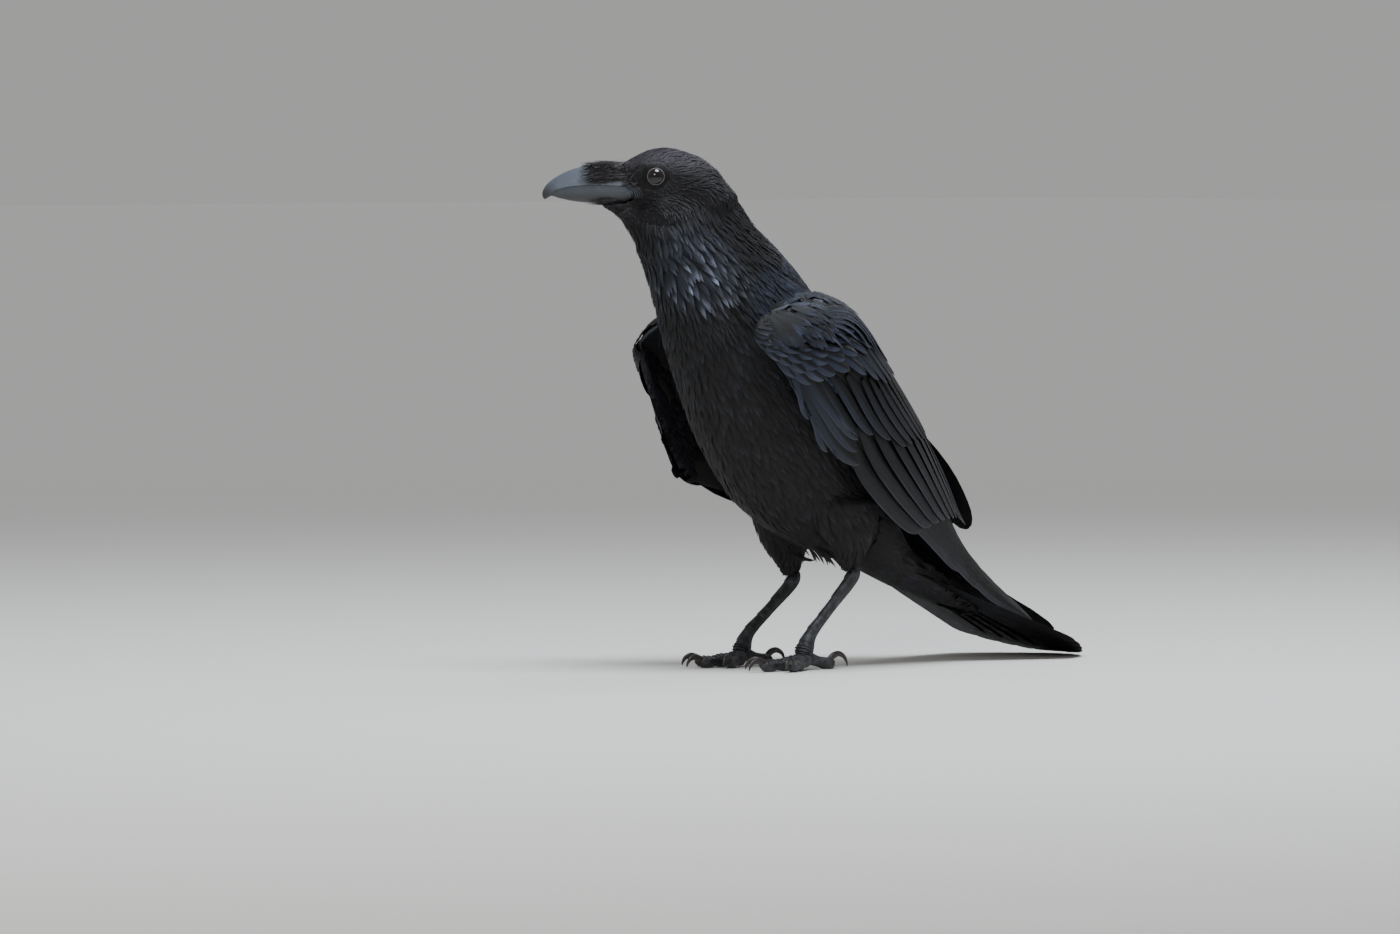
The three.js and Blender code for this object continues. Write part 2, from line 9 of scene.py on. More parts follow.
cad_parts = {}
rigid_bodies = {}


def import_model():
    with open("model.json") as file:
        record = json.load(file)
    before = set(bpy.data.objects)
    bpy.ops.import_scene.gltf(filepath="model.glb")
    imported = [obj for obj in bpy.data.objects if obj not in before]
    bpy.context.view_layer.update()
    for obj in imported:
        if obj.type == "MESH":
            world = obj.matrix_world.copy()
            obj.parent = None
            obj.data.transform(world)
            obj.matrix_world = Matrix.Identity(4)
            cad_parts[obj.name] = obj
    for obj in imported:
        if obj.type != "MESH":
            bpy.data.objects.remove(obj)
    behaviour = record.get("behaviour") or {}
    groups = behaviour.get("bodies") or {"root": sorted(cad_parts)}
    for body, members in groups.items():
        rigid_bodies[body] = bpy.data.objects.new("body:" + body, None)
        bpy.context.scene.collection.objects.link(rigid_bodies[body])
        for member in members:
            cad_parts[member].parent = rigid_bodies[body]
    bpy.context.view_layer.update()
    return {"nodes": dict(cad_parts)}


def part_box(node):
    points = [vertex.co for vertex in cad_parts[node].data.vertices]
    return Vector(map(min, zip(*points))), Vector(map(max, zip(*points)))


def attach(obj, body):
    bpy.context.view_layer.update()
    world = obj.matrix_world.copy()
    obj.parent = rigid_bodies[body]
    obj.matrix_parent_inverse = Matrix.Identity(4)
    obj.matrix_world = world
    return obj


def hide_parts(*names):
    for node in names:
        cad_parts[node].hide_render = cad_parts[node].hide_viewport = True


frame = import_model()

# ---- Skin ----
# The bird's bare body under its feathers: head, neck, trunk and thighs in one continuous form.
# It lies inside the plumage's outline by the depth of the coat, and is the same near-black as the down.

MM = 0.001
EYE_MIDDLE = Vector((-134.95, 8.01, 383.0)) * MM
eye_low, eye_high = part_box("eye_left")
ORIGIN = (eye_low + eye_high) / 2 - EYE_MIDDLE


def at(x, y, z):
    """A place given in millimetres in the bird's own frame, whose origin lies under its shoulders."""
    return Vector((x, y, z)) * MM + ORIGIN


FLESH = ["head", "neck", "trunk", "thigh_left", "thigh_right"]
SIDES = ((-1, "left"), (1, "right"))
HEAD_MIDDLE = at(-115, 8, 376)
HEAD_TURN = math.radians(-43)
HEAD_REACH = 62               # the head's part of the coat ends this far from its middle, in millimetres
TO_HEAD = Matrix.Rotation(-HEAD_TURN, 4, "Z") @ Matrix.Translation(-HEAD_MIDDLE)
FROM_HEAD = TO_HEAD.inverted()


def head_at(x, y, z):
    """A place given in millimetres in the head's own frame, whose bill points towards -X."""
    return FROM_HEAD @ (Vector((x, y, z)) * MM)


def bell(offset, width):
    return np.exp(-(offset / width) ** 2)


def circle(count):
    return np.linspace(0, 2 * math.pi, count, endpoint=False)


def moved(points, matrix):
    return points @ np.array(matrix.to_3x3()).T + np.array(matrix.translation)


def in_head(points):
    """Points in the head's own frame, in millimetres."""
    return moved(points, TO_HEAD) / MM


def arithmetic(operation, reflected=False):
    """A method that adds a Math node for an operator or for its reflected form."""
    def method(self, other):
        return self.finish.node("ShaderNodeMath", {"operation": operation}, {
            int(reflected): self, int(not reflected): other})
    return method


class Shade:
    """A socket of a material that is being made; arithmetic on it adds Math nodes."""

    def __init__(self, finish, socket):
        self.finish = finish
        self.socket = socket

    __add__ = __radd__ = arithmetic("ADD")
    __mul__ = __rmul__ = arithmetic("MULTIPLY")
    __sub__, __rsub__ = arithmetic("SUBTRACT"), arithmetic("SUBTRACT", True)
    __truediv__, __rtruediv__ = arithmetic("DIVIDE"), arithmetic("DIVIDE", True)


class Finish:
    """A material under construction."""

    def __init__(self, name):
        self.material = bpy.data.materials.new(name)
        self.material.use_nodes = True
        self.tree = self.material.node_tree

    def feed(self, socket, value):
        """Links a shade to a socket, or sets a constant on it; colours have three values."""
        if isinstance(value, Shade):
            self.tree.links.new(value.socket, socket)
        else:
            socket.default_value = (*value, 1) if socket.type == "RGBA" else value

    def node(self, kind, settings, inputs, output=0):
        """The one maker of nodes; returns one of the new node's outputs."""
        made = self.tree.nodes.new(kind)
        for name, value in settings.items():
            setattr(made, name, value)
        for name, value in inputs.items():
            self.feed(made.inputs[name], value)
        return Shade(self, made.outputs[output])

    def math(self, operation, *values):
        return self.node("ShaderNodeMath", {"operation": operation}, dict(enumerate(values)))

    def vector_math(self, operation, first, second, output="Vector"):
        return self.node("ShaderNodeVectorMath", {"operation": operation}, {0: first, 1: second}, output)

    def xyz(self, vector):
        first = self.node("ShaderNodeSeparateXYZ", {}, {0: vector})
        return [Shade(self, socket) for socket in first.socket.node.outputs]

    def place(self):
        return self.node("ShaderNodeTexCoord", {}, {}, "Object")

    def distance(self, middle, *others):
        """How far the surface is from the nearest of some places."""
        gap = self.vector_math("DISTANCE", self.place(), middle, "Value")
        return self.math("MINIMUM", gap, self.distance(*others)) if others else gap

    def noise(self, vector, scale, detail=3.0):
        return self.node("ShaderNodeTexNoise", {}, {"Vector": vector, "Scale": scale, "Detail": detail})

    def attribute(self, name):
        return self.node("ShaderNodeAttribute", {"attribute_name": name}, {}, "Fac")

    def between(self, value, low, high):
        """How far a value has come from low to high, 0 to 1, eased at both ends."""
        return self.node("ShaderNodeMapRange", {"interpolation_type": "SMOOTHSTEP"}, {
            "Value": value, "From Min": low, "From Max": high})

    def mix(self, share, first, second):
        return self.node("ShaderNodeMix", {"data_type": "RGBA"}, {0: share, 6: first, 7: second}, 2)

    def bump(self, height, strength, distance):
        return self.node("ShaderNodeBump", {}, {
            "Height": height, "Strength": strength, "Distance": distance}, "Normal")

    def shader(self, **inputs):
        for name, value in inputs.items():
            self.feed(self.tree.nodes["Principled BSDF"].inputs[name.replace("_", " ")], value)
        return self.material


DOWN_BLACK = (0.0058, 0.0056, 0.0066)
BROWN_BLACK = (0.0105, 0.0080, 0.0068)
# Painted blue-grey sheen of the throat
THROAT_SHEEN_BLUE = (0.0170, 0.0210, 0.0340)
VELVET_BLACK = (0.0022, 0.0020, 0.0024)
# Painted sky reflection on the top of the head, and painted blue-grey sheen over the shoulders
CROWN_SKY_SHEEN = (0.034, 0.030, 0.038)
SHOULDER_SHEEN_BLUE = (0.017, 0.022, 0.036)
SHOULDERS = [at(-56, -50, 284), at(-62, 52, 270)]
THROAT_MIDDLE = at(-123, -20, 313)


def body_colour(finish):
    """The markings that skin and feathers share: a brown belly, painted blue-grey sheen on the throat and
    shoulders, and a painted sky reflection that greys the top of the head.
    """
    place = finish.place()
    x, _, z = finish.xyz(place)
    cloud = finish.noise(place, 38.0)
    low = finish.between(z + 0.35 * x + 0.05 * cloud, 0.23, 0.10)
    dark = finish.mix(low * 0.85, DOWN_BLACK, BROWN_BLACK)
    # Painted sheen: blue-grey over the shoulders, then over the throat
    over_wings = finish.between(finish.distance(*SHOULDERS) + 0.012 * cloud, 0.044, 0.022)
    throat = finish.between(finish.distance(THROAT_MIDDLE) + 0.03 * cloud, 0.062, 0.028)
    # Painted sky reflection: the top of the head goes lighter grey
    crown = finish.between(z + 0.006 * cloud, at(0, 0, 384).z, at(0, 0, 403).z)
    return finish.mix(crown * 0.9, finish.mix(
        throat * 0.6, finish.mix(over_wings, dark, SHOULDER_SHEEN_BLUE), THROAT_SHEEN_BLUE), CROWN_SKY_SHEEN)


# Round the eye, to the gape, and the crease behind the eye.
# Centres in the head's frame and radii, in millimetres.
LORES = [(-15, 18.5, 7, 10.2), (-24, 15, 7, 9.0), (-31, 14, 5, 7.0), (-29.5, 15, -6.5, 6.5),
         (-4.5, 19.5, 6.6, 2.6), (-1, 20, 6.2, 2.0), (2.5, 20.5, 5.8, 1.4)]


def with_lores(finish, colour):
    """Velvet black from the bill's root and the gape to just behind the eye, on both sides."""
    nearest = 1.0
    for x, y, z, radius in LORES:
        gap = finish.distance(head_at(x, -y, z), head_at(x, y, z)) - radius * MM
        nearest = finish.math("MINIMUM", gap, nearest)
    return finish.mix(finish.between(nearest, 0.0016, -0.0006), colour, VELVET_BLACK)


# The skin carries the body's markings, the painted sheen and painted sky reflection among them
skin_finish = Finish("bare_skin_and_down")
skin_finish.shader(
    Base_Color=with_lores(skin_finish, body_colour(skin_finish)),
    Roughness=0.85,
    Normal=skin_finish.bump(skin_finish.noise(skin_finish.place(), 900.0, 2.0), 0.3, 0.001))


def pick(active, *others):
    """Makes these the only selected pieces, with the first one active."""
    bpy.ops.object.select_all(action="DESELECT")
    for piece in (active, *others):
        piece.select_set(True)
    bpy.context.view_layer.objects.active = active


def joined_copy(active, *others):
    pick(active, *others)
    bpy.ops.object.duplicate()
    bpy.ops.object.join()
    return bpy.context.object


def edit(*steps):
    """Runs mesh operators, each with its settings, on all faces of the selected pieces."""
    bpy.ops.object.mode_set(mode="EDIT")
    bpy.ops.mesh.select_all(action="SELECT")
    for step, settings in steps:
        step(**settings)
    bpy.ops.object.mode_set(mode="OBJECT")


def modify(piece, kind, **settings):
    modifier = piece.modifiers.new(kind, kind)
    for name, value in settings.items():
        setattr(modifier, name, value)
    bpy.ops.object.modifier_apply(modifier=modifier.name)


def read(items, name, width, *shape, kind=float):
    """One value of every item of a mesh, of so many numbers, as an array of rows of a shape."""
    values = np.empty(len(items) * width, kind)
    items.foreach_get(name, values)
    return values.reshape(-1, *shape)


SKIN_VOXEL, DRAPE_VOXEL = 0.0023, 0.004
OVERLAP = 1.015               # each form grows a little so that neighbours join
BY_FORM = {"type": "LOOSE"}

skin = joined_copy(frame["nodes"]["trunk"], *(frame["nodes"][name] for name in FLESH))
skin.name = "skin"
bpy.ops.object.parent_clear(type="CLEAR_KEEP_TRANSFORM")
edit((bpy.ops.mesh.remove_doubles, {"threshold": 0.00002}), (bpy.ops.mesh.separate, BY_FORM))
for part in bpy.context.selected_objects:
    co = read(part.data.vertices, "co", 3, 3)
    middle = (co.min(0) + co.max(0)) / 2
    part.data.vertices.foreach_set("co", ((co - middle) * OVERLAP + middle).ravel())
bpy.context.view_layer.objects.active = skin
bpy.ops.object.join()
skin.data.materials.clear()
skin.data.materials.append(skin_finish.material)
modify(skin, "REMESH", mode="VOXEL", voxel_size=SKIN_VOXEL)
modify(skin, "SMOOTH", factor=0.5, iterations=14)
edit((bpy.ops.mesh.quads_convert_to_tris, {}), (bpy.ops.mesh.separate, BY_FORM))
*crumbs, skin = sorted(bpy.context.selected_objects, key=lambda part: len(part.data.vertices))
for crumb in crumbs:
    bpy.data.objects.remove(crumb)
bpy.context.view_layer.objects.active = skin
skin.name = "skin"
edit((bpy.ops.uv.smart_project, {"angle_limit": math.radians(66), "island_margin": 0.002}))
bpy.ops.object.shade_smooth()

FULL_DEPTH = 0.0032           # of the coat on the body
FACE_DEPTH = 0.0014


def coat_depth(points):
    local = in_head(points)
    face = np.clip((local[:, 0] + 0.6 * local[:, 2] - 6) / -30, 0, 1)
    near_head = np.linalg.norm(local - [-5, 0, 0], axis=1) < HEAD_REACH
    return np.where(near_head, FULL_DEPTH + (FACE_DEPTH - FULL_DEPTH) * face, FULL_DEPTH)


skin_verts = read(skin.data.vertices, "co", 3, 3)
skin_normals = read(skin.data.vertices, "normal", 3, 3)
skin_faces = read(skin.data.loops, "vertex_index", 1, 3, kind=np.int64)
skin_uv = read(skin.data.uv_layers.active.data, "uv", 2, 3, 2)
CREASE_DEPTH = 0.0022         # of the fold under the cheek
FILLS = [  # where the skin swells or sinks: place, height and spread in millimetres
    (head_at(-14, 0, 26), 3.0, 15),                                                    # crown
    (at(-79, -14, 360), 3.4, 13), (head_at(46, 0, -22), 1.8, 9), (head_at(46, 0, 2), -2.4, 9),     # nape
    (at(30, -42, 132), 4.0, 10),                                                       # left flank
    (at(34, -6, 268), 5.0, 14), (at(60, -5, 250), 5.0, 14), (at(86, -3, 222), 5.0, 14),            # back
    (at(110, -2, 195), 4.0, 14),
    (head_at(-34, 0, -51), -4.0, 12),                                                  # front of the throat
    (head_at(-12, -20, -14), 1.4, 6), (head_at(-12, 20, -14), 1.4, 6),                 # cheeks
    (at(4, -44, 130), 4.5, 13), (at(8, 43, 126), 4.5, 13)]                             # flanks
filled = np.zeros(len(skin_verts))
for middle, height, spread in FILLS:
    away = np.sum((skin_verts - np.array(middle)) ** 2, axis=1)
    filled += height * MM * np.exp(-away / (2 * (spread * MM) ** 2))
local = in_head(skin_verts)
crease = np.exp(-((local[:, 2] + 30.4 + 0.1 * local[:, 0]) / 2.8) ** 2 - ((local[:, 0] + 10) / 17) ** 4)
skin_verts = skin_verts + skin_normals * (filled - CREASE_DEPTH * crease - coat_depth(skin_verts))[:, None]
skin.data.vertices.foreach_set("co", skin_verts.ravel())
skin.data.update()
skin_tree = BVHTree.FromPolygons(skin_verts.tolist(), skin_faces.tolist())
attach(skin, "root")
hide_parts(*FLESH)

# ---- Feather making ----
# Every feather is a thin closed vane with its shaft as a low ridge, lying along the body and lifting at the
# tip. The small ones have few faces; the long ones of wing and tail have more, and a camber across.

SMALL_SECTION = np.array([(-1, 0), (0, 1), (1, 0), (0, -0.35)])
LONG_SECTION = np.array([(-1, -0.1), (-0.55, 0.5), (-0.06, 0.75), (0, 1.0), (0.06, 0.75), (0.55, 0.5),
                         (1, -0.1), (0, -0.45)])
BAKE_PATCH = 0.003            # of the unwrap, for each small feather


def unit(vectors):
    return vectors / np.maximum(np.linalg.norm(vectors, axis=-1, keepdims=True), 1e-9)


def new_piece(name, points, faces):
    mesh = bpy.data.meshes.new(name)
    mesh.from_pydata(points.reshape(-1, 3).tolist(), [], faces)
    made = bpy.data.objects.new(name, mesh)
    bpy.context.collection.objects.link(made)
    pick(made)
    return made


def laid_along(tree, roots, flow, lengths, stations):
    """Centre lines that follow a surface from each root, with the surface's normals."""
    lines = np.empty((len(roots), stations, 3))
    normals = np.empty_like(lines)
    for i, (root, direction, length) in enumerate(zip(roots, flow, lengths)):
        place = Vector(root)
        heading = Vector(direction)
        for k in range(stations):
            spot, normal, _, _ = tree.find_nearest(place)
            lines[i, k] = spot
            normals[i, k] = normal
            heading = (heading - normal * heading.dot(normal)).normalized()
            place = spot + heading * (length / (stations - 1))
    return lines, normals


def outline(v, root, widest, tip_from, blunt):
    """A vane's half width along its length, as a share of its greatest."""
    grow = root + (1 - root) * np.sin(np.clip(v / widest, 0, 1) * math.pi / 2)
    near = np.clip((v - tip_from) / (1 - tip_from), 0, 1)
    return grow * np.maximum(np.sqrt(1 - near ** 2), blunt)


def places_on_unwrap(points):
    """Where the skin nearest to each point lies on the skin's unwrap."""
    faces = [skin_tree.find_nearest(Vector(point))[2] for point in points]
    return skin_uv[faces].mean(axis=1)


class Feathers:
    """Collects feathers as arrays and joins them into one mesh."""

    def __init__(self, section=SMALL_SECTION):
        self.section = section
        self.verts, self.faces, self.count = [], [], 0
        self.layers = {"OFBake": [], "vane": [], "reach": [], "tone": [], "exposed": []}

    def add(self, centres, normals, half_widths, thickness, tones, bake_roots,
            bake_size=(BAKE_PATCH, BAKE_PATCH), camber=0.0, tilt=0.0):
        """centres and normals are (feathers, stations, 3); half_widths (feathers, stations)."""
        n, k = half_widths.shape
        m = len(self.section)
        across, raised = self.section.T
        half = half_widths[:, :, None]
        along = np.gradient(centres, axis=1)
        side = unit(np.cross(along, normals))
        up = unit(np.cross(side, along))
        taper = half / np.maximum(half.max(axis=1, keepdims=True), 1e-9)
        heights = raised * thickness * np.sqrt(taper) - camber * half * across ** 2 + tilt * half * across
        self.verts.append((centres[:, :, None] + side[:, :, None] * (across * half)[..., None]
                           + up[:, :, None] * heights[..., None]).reshape(-1, 3))

        start = self.count + np.arange(n)[:, None, None] * k * m
        j = np.arange(m)
        after = (j + 1) % m
        near, far = start + np.arange(k - 1)[:, None] * m, start + np.arange(1, k)[:, None] * m
        self.faces.append(np.stack([near + j, far + j, far + after, near + after], axis=-1).reshape(-1, 4))
        self.faces += [start[:, 0] + j, start[:, 0] + (k - 1) * m + j[::-1]]
        self.count += n * k * m

        step = np.linalg.norm(np.diff(centres, axis=1), axis=2)
        length = np.concatenate([np.zeros((n, 1)), np.cumsum(step, axis=1)], axis=1)[:, :, None]
        across, length, reach, tone = np.broadcast_arrays(
            across, length, length / length[:, -1:], tones[:, None, None])
        bake = (bake_roots[:, 0, None, None] + across * bake_size[0] / 2,
                bake_roots[:, 1, None, None] + (reach - 0.5) * bake_size[1])
        self.layers["OFBake"].append(np.stack(bake, axis=-1).reshape(-1, 2))
        self.layers["vane"].append(np.stack([across * half, length], axis=-1).reshape(-1, 2))
        self.layers["reach"].append(reach.ravel())
        self.layers["tone"].append(tone.ravel())
        # Which side of a tilted vane lies open: it places the painted highlight and painted shadow of
        # vane_finish
        self.layers["exposed"].append((across * np.sign(tilt) if tilt else 0.65 + 0 * across).ravel())

    def lay(self, tree, roots, flow, lengths, stations, rise, half_widths, thickness, bake_roots,
            tone_power=1, camber=0.2):
        """Feathers along a surface; rise and half_widths are functions of the share of the length."""
        v = np.linspace(0, 1, stations)[None]
        lines, normals = laid_along(tree, roots, flow, lengths, stations)
        self.add(lines + normals * rise(v)[..., None], normals, half_widths(v), thickness,
                 rng.random(len(roots)) ** tone_power, bake_roots, camber=camber)

    def piece(self, name, material, slot):
        faces = [face for block in self.faces for face in block.tolist()]
        made = new_piece(name, np.concatenate(self.verts), faces)
        corners = read(made.data.loops, "vertex_index", 1, kind=np.int64)
        for layer, blocks in self.layers.items():
            values = np.concatenate(blocks)
            if values.ndim == 2:
                made.data.uv_layers.new(name=layer).data.foreach_set("uv", values[corners].ravel())
            else:
                made.data.attributes.new(layer, "FLOAT", "POINT").data.foreach_set("value", values)
        made.data.materials.append(material)
        bpy.ops.object.shade_smooth_by_angle(angle=math.radians(50))
        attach(made, "root")
        return made

# ---- Body plumage ----
# Small overlapping contour feathers over all of the skin, rooted in it and pointing back along the body.
# They are tiny on the face, silky on the neck, long and pointed on the throat, broad and soft below it.

rng = np.random.default_rng(7)

SPINE = np.array([at(-130, 18, 384), at(-116, 8, 368), at(-108, 6, 348), at(-92, 2, 326),
                  at(-72, 0, 300), at(-46, 0, 264), at(-14, 0, 221), at(20, 0, 175), at(50, 0, 135),
                  at(80, 0, 103), at(112, 0, 82)])
BILL_ROOT = np.array(head_at(-46, 0, -2))
EYE_MIDDLES = [np.array(head_at(-14.6, side * 18.0, 7)) for side in (-1, 1)]
GAPES = [np.array(head_at(-30, side * 15, -6.5)) for side in (-1, 1)]
BARE_EYE, BARE_GAPE = 0.0068, 0.0056       # radii that keep free of feathers
LEG_LINES = [(np.array(at(26, -34, 132)), np.array(at(27, -38, 73))),
             (np.array(at(28, 32, 128)), np.array(at(33, 36, 67)))]


def to_segment(points, start, end):
    """How far along a segment each point lies, 0 to 1, its distance from it, and the segment's direction."""
    way = end - start
    share = np.clip(((points - start) @ way) / (way @ way), 0, 1)
    return share, np.linalg.norm(points - (start + share[:, None] * way), axis=1), way / np.linalg.norm(way)


def along_spine(points):
    """Each point's station on the spine, counted in segments, and the direction there."""
    best = np.full(len(points), 1e9)
    station = np.zeros(len(points))
    direction = np.zeros((len(points), 3))
    for i, (a, b) in enumerate(zip(SPINE, SPINE[1:])):
        share, distance, way = to_segment(points, a, b)
        near = distance < best
        best[near], station[near], direction[near] = distance[near], i + share[near], way
    return station, direction


def thigh_share(points):
    """How much each point belongs to a thigh, 0 to 1, and the direction down that leg."""
    share = np.zeros(len(points))
    direction = np.zeros((len(points), 3))
    for top, end in LEG_LINES:
        t, distance, way = to_segment(points, top, end)
        own = np.clip((0.036 - distance) / 0.012, 0, 1) * np.clip(t * 1.6, 0, 1)
        own = own * np.clip((0.118 - points[:, 2]) / 0.02, 0, 1)
        near = own > share
        share[near], direction[near] = own[near], way
    return share, direction


def lie_of_coat(points):
    """The way the feathers point: back from the bill over the head, along the body and down the thighs."""
    _, flow = along_spine(points)
    local = in_head(points)
    headness = np.clip((local[:, 2] + 22 - 0.35 * local[:, 0]) / 16, 0, 1)
    headness[np.linalg.norm(local, axis=1) > HEAD_REACH] = 0
    from_bill = unit(points - BILL_ROOT)
    flow = unit(flow * (1 - headness[:, None]) + from_bill * headness[:, None])
    for eye in EYE_MIDDLES:
        aside = points - eye
        aside -= np.sum(aside * flow, axis=1)[:, None] * flow
        near = np.exp(-(np.linalg.norm(points - eye, axis=1) / 0.0125) ** 4)
        flow = unit(flow + 1.1 * near[:, None] * unit(aside))
    share, down = thigh_share(points)
    return unit(flow * (1 - share[:, None]) + down * share[:, None])


GRID_CELL = 0.008             # wider than any spacing


def scatter(spacing_of, candidates):
    """Roots on the skin at least a local spacing apart: places and places on the unwrap."""
    a, b, c = (skin_verts[skin_faces[:, i]] for i in range(3))
    area = np.linalg.norm(np.cross(b - a, c - a), axis=1)
    middle = (a + b + c) / 3
    wanted = area / spacing_of(middle) ** 2
    picked = rng.choice(len(skin_faces), size=candidates, p=wanted / wanted.sum())
    r1, r2 = np.sqrt(rng.random(candidates)), rng.random(candidates)
    weights = np.stack([1 - r1, r1 * (1 - r2), r1 * r2], axis=1)
    places = np.einsum("nk,nkd->nd", weights, skin_verts[skin_faces[picked]])
    unwrapped = np.einsum("nk,nkd->nd", weights, skin_uv[picked])
    spacing = spacing_of(places)
    kept, grid = [], {}
    keys = np.floor(places / GRID_CELL).astype(int)
    for i, (key, place, gap) in enumerate(zip(map(tuple, keys), places, spacing)):
        around = [j for dx in (-1, 0, 1) for dy in (-1, 0, 1) for dz in (-1, 0, 1)
                  for j in grid.get((key[0] + dx, key[1] + dy, key[2] + dz), ())]
        if around:
            apart = places[around] - place
            if (np.einsum("nd,nd->n", apart, apart) < gap * gap).any():
                continue
        grid.setdefault(key, []).append(i)
        kept.append(i)
    return places[kept], unwrapped[kept]


def vane_finish(name, colour_of, roughness, barb, painted_sheen=(0.016, 0.017, 0.022), gloss=0.25, wear_and_painted_light=0.0,
                least=0.2, sheen_at=lambda finish: 1.0):
    """Feather vane: its markings, a painted sheen towards the tip, roots painted black as shade under the
    overlapping feathers and fine slanting barbs; long feathers add a pale shaft, brown wear at the tip, and a
    painted shadow and painted highlight across the vane.
    """
    finish = Finish(name)
    reach, tone = finish.attribute("reach"), finish.attribute("tone")
    vane = finish.node("ShaderNodeUVMap", {"uv_map": "vane"}, {}, "UV")
    across, length, _ = finish.xyz(vane)
    aside = finish.math("ABSOLUTE", across)
    barbs = finish.math("SINE", (length - aside * 1.1) * (6.283 / barb))
    ragged = finish.noise(finish.vector_math("MULTIPLY", vane, (420.0, 90.0, 1.0)), 1.0, 2.0)
    mottled = finish.between(finish.noise(finish.place(), 60.0, 2.0), 0.36, 0.66)
    # Painted sheen towards each tip, scaled by the feather's tone, by mottling and by its place
    colour = finish.mix(finish.between(reach, 0.45, 0.95) * (least + (1 - least) * tone)
                        * (0.35 + 0.65 * mottled) * sheen_at(finish), colour_of(finish), painted_sheen)
    if wear_and_painted_light:
        # Long feathers: brown wear at the tip and a pale shaft, then painted light across the vane
        exposed = finish.attribute("exposed")
        long = finish.between(length, 0.020, 0.040)
        edge = wear_and_painted_light * long * finish.between(reach + 0.02 * ragged, 0.975, 1.02)
        shaft = finish.between(aside, 0.0009, 0.0005) * long * (0.15 + 0.5 * wear_and_painted_light * reach)
        # Painted highlight along the vane's open edge, and painted shadow where the next feather overlaps it
        rim = 0.55 * finish.between(exposed, 0.80, 0.98) * finish.between(reach, 0.25, 0.6)
        painted_shadow = 0.92 * finish.between(exposed + 0.06 * ragged, 0.52, 0.18)
        for share, shade in ((shaft, (0.030, 0.028, 0.030)), (rim, (0.050, 0.053, 0.068)),
                             (edge, (0.055, 0.048, 0.044)), (painted_shadow, (0.0010, 0.0010, 0.0014))):
            colour = finish.mix(share, colour, shade)
    # Painted shade: the inner part of each feather, under those that overlap it, goes near black
    colour = finish.mix(0.85 * finish.between(reach, 0.6, 0.0), colour, (0.0025, 0.0025, 0.0031))
    finish.shader(
        Base_Color=with_lores(finish, colour) if "head" in name else colour,
        Roughness=roughness + 0.16 * ragged - 0.08 * tone,
        Specular_IOR_Level=gloss,
        Normal=finish.bump(barbs * 0.5 + ragged, 0.35, 0.0004))
    return finish.material


SMALL_OUTLINE = {
    "round": [0.45, 0.92, 1.0, 0.82, 0.30],
    "lance": [0.55, 0.95, 1.0, 0.62, 0.08],
    "silky": [0.6, 1.0, 0.85, 0.55, 0.12],
}


def region_share(points):
    """Names each root's part of the coat."""
    station, _ = along_spine(points)
    local = in_head(points)
    thigh, _ = thigh_share(points)
    spine_at = np.stack([np.interp(station, np.arange(len(SPINE)), column) for column in SPINE.T], axis=1)
    out = unit(points - spine_at)
    kind = np.full(len(points), "breast", dtype=object)
    kind[out[:, 2] + 0.55 * out[:, 0] > 0.05] = "back"
    neck = station < 4.3
    kind[neck] = "neck"
    front = (out @ unit(np.array([-0.80, -0.25, -0.45]))) > 0.35
    kind[neck & front & (station > 1.3)] = "throat"
    below = np.maximum(-29 - 0.1 * local[:, 0], -19 + 0.45 * (local[:, 0] - 12))
    kind[(np.linalg.norm(local, axis=1) < HEAD_REACH) & (local[:, 2] > below)] = "head"
    kind[thigh > 0.5] = "thigh"
    return kind


def hackle_share(points):
    """How far the throat's long pointed feathers have come from plain ones, 0 to 1."""
    away = (points - np.array(THROAT_MIDDLE)) / np.array([0.046, 0.046, 0.036])
    return np.clip(1.6 - 1.6 * np.linalg.norm(away, axis=1), 0, 1)


COAT = {  # length, half width, spacing, lift at the tip, thickness in millimetres, outline, painted sheen
    "head": (6.5, 1.0, 1.70, 1.3, 0.14, "silky", (0.052, 0.048, 0.062)),
    "neck": (15.0, 1.5, 2.6, 2.2, 0.22, "silky", (0.016, 0.016, 0.020)),
    "throat": (14.5, 1.7, 2.9, 2.2, 0.30, "lance", (0.215, 0.245, 0.330)),
    "breast": (17.0, 3.0, 3.7, 2.0, 0.20, "silky", (0.020, 0.022, 0.031)),
    "back": (19.0, 4.2, 5.0, 2.6, 0.30, "round", (0.018, 0.019, 0.026)),
    "thigh": (13.0, 1.9, 2.9, 2.2, 0.20, "silky", (0.016, 0.017, 0.024))}


def spacing_of(points):
    kind = region_share(points)
    spacing = np.vectorize(lambda name: COAT[name][2])(kind)
    return spacing * (1 + 0.45 * hackle_share(points) * (kind == "throat")) * MM


CANDIDATES = 44000
roots, root_uv = scatter(spacing_of, CANDIDATES)
kinds = region_share(roots)
clear = np.ones(len(roots), dtype=bool)
for bare_places, radius in ((EYE_MIDDLES, BARE_EYE), (GAPES, BARE_GAPE)):
    for bare in bare_places:
        clear &= np.linalg.norm(roots - bare, axis=1) > radius
roots, root_uv, kinds = roots[clear], root_uv[clear], kinds[clear]

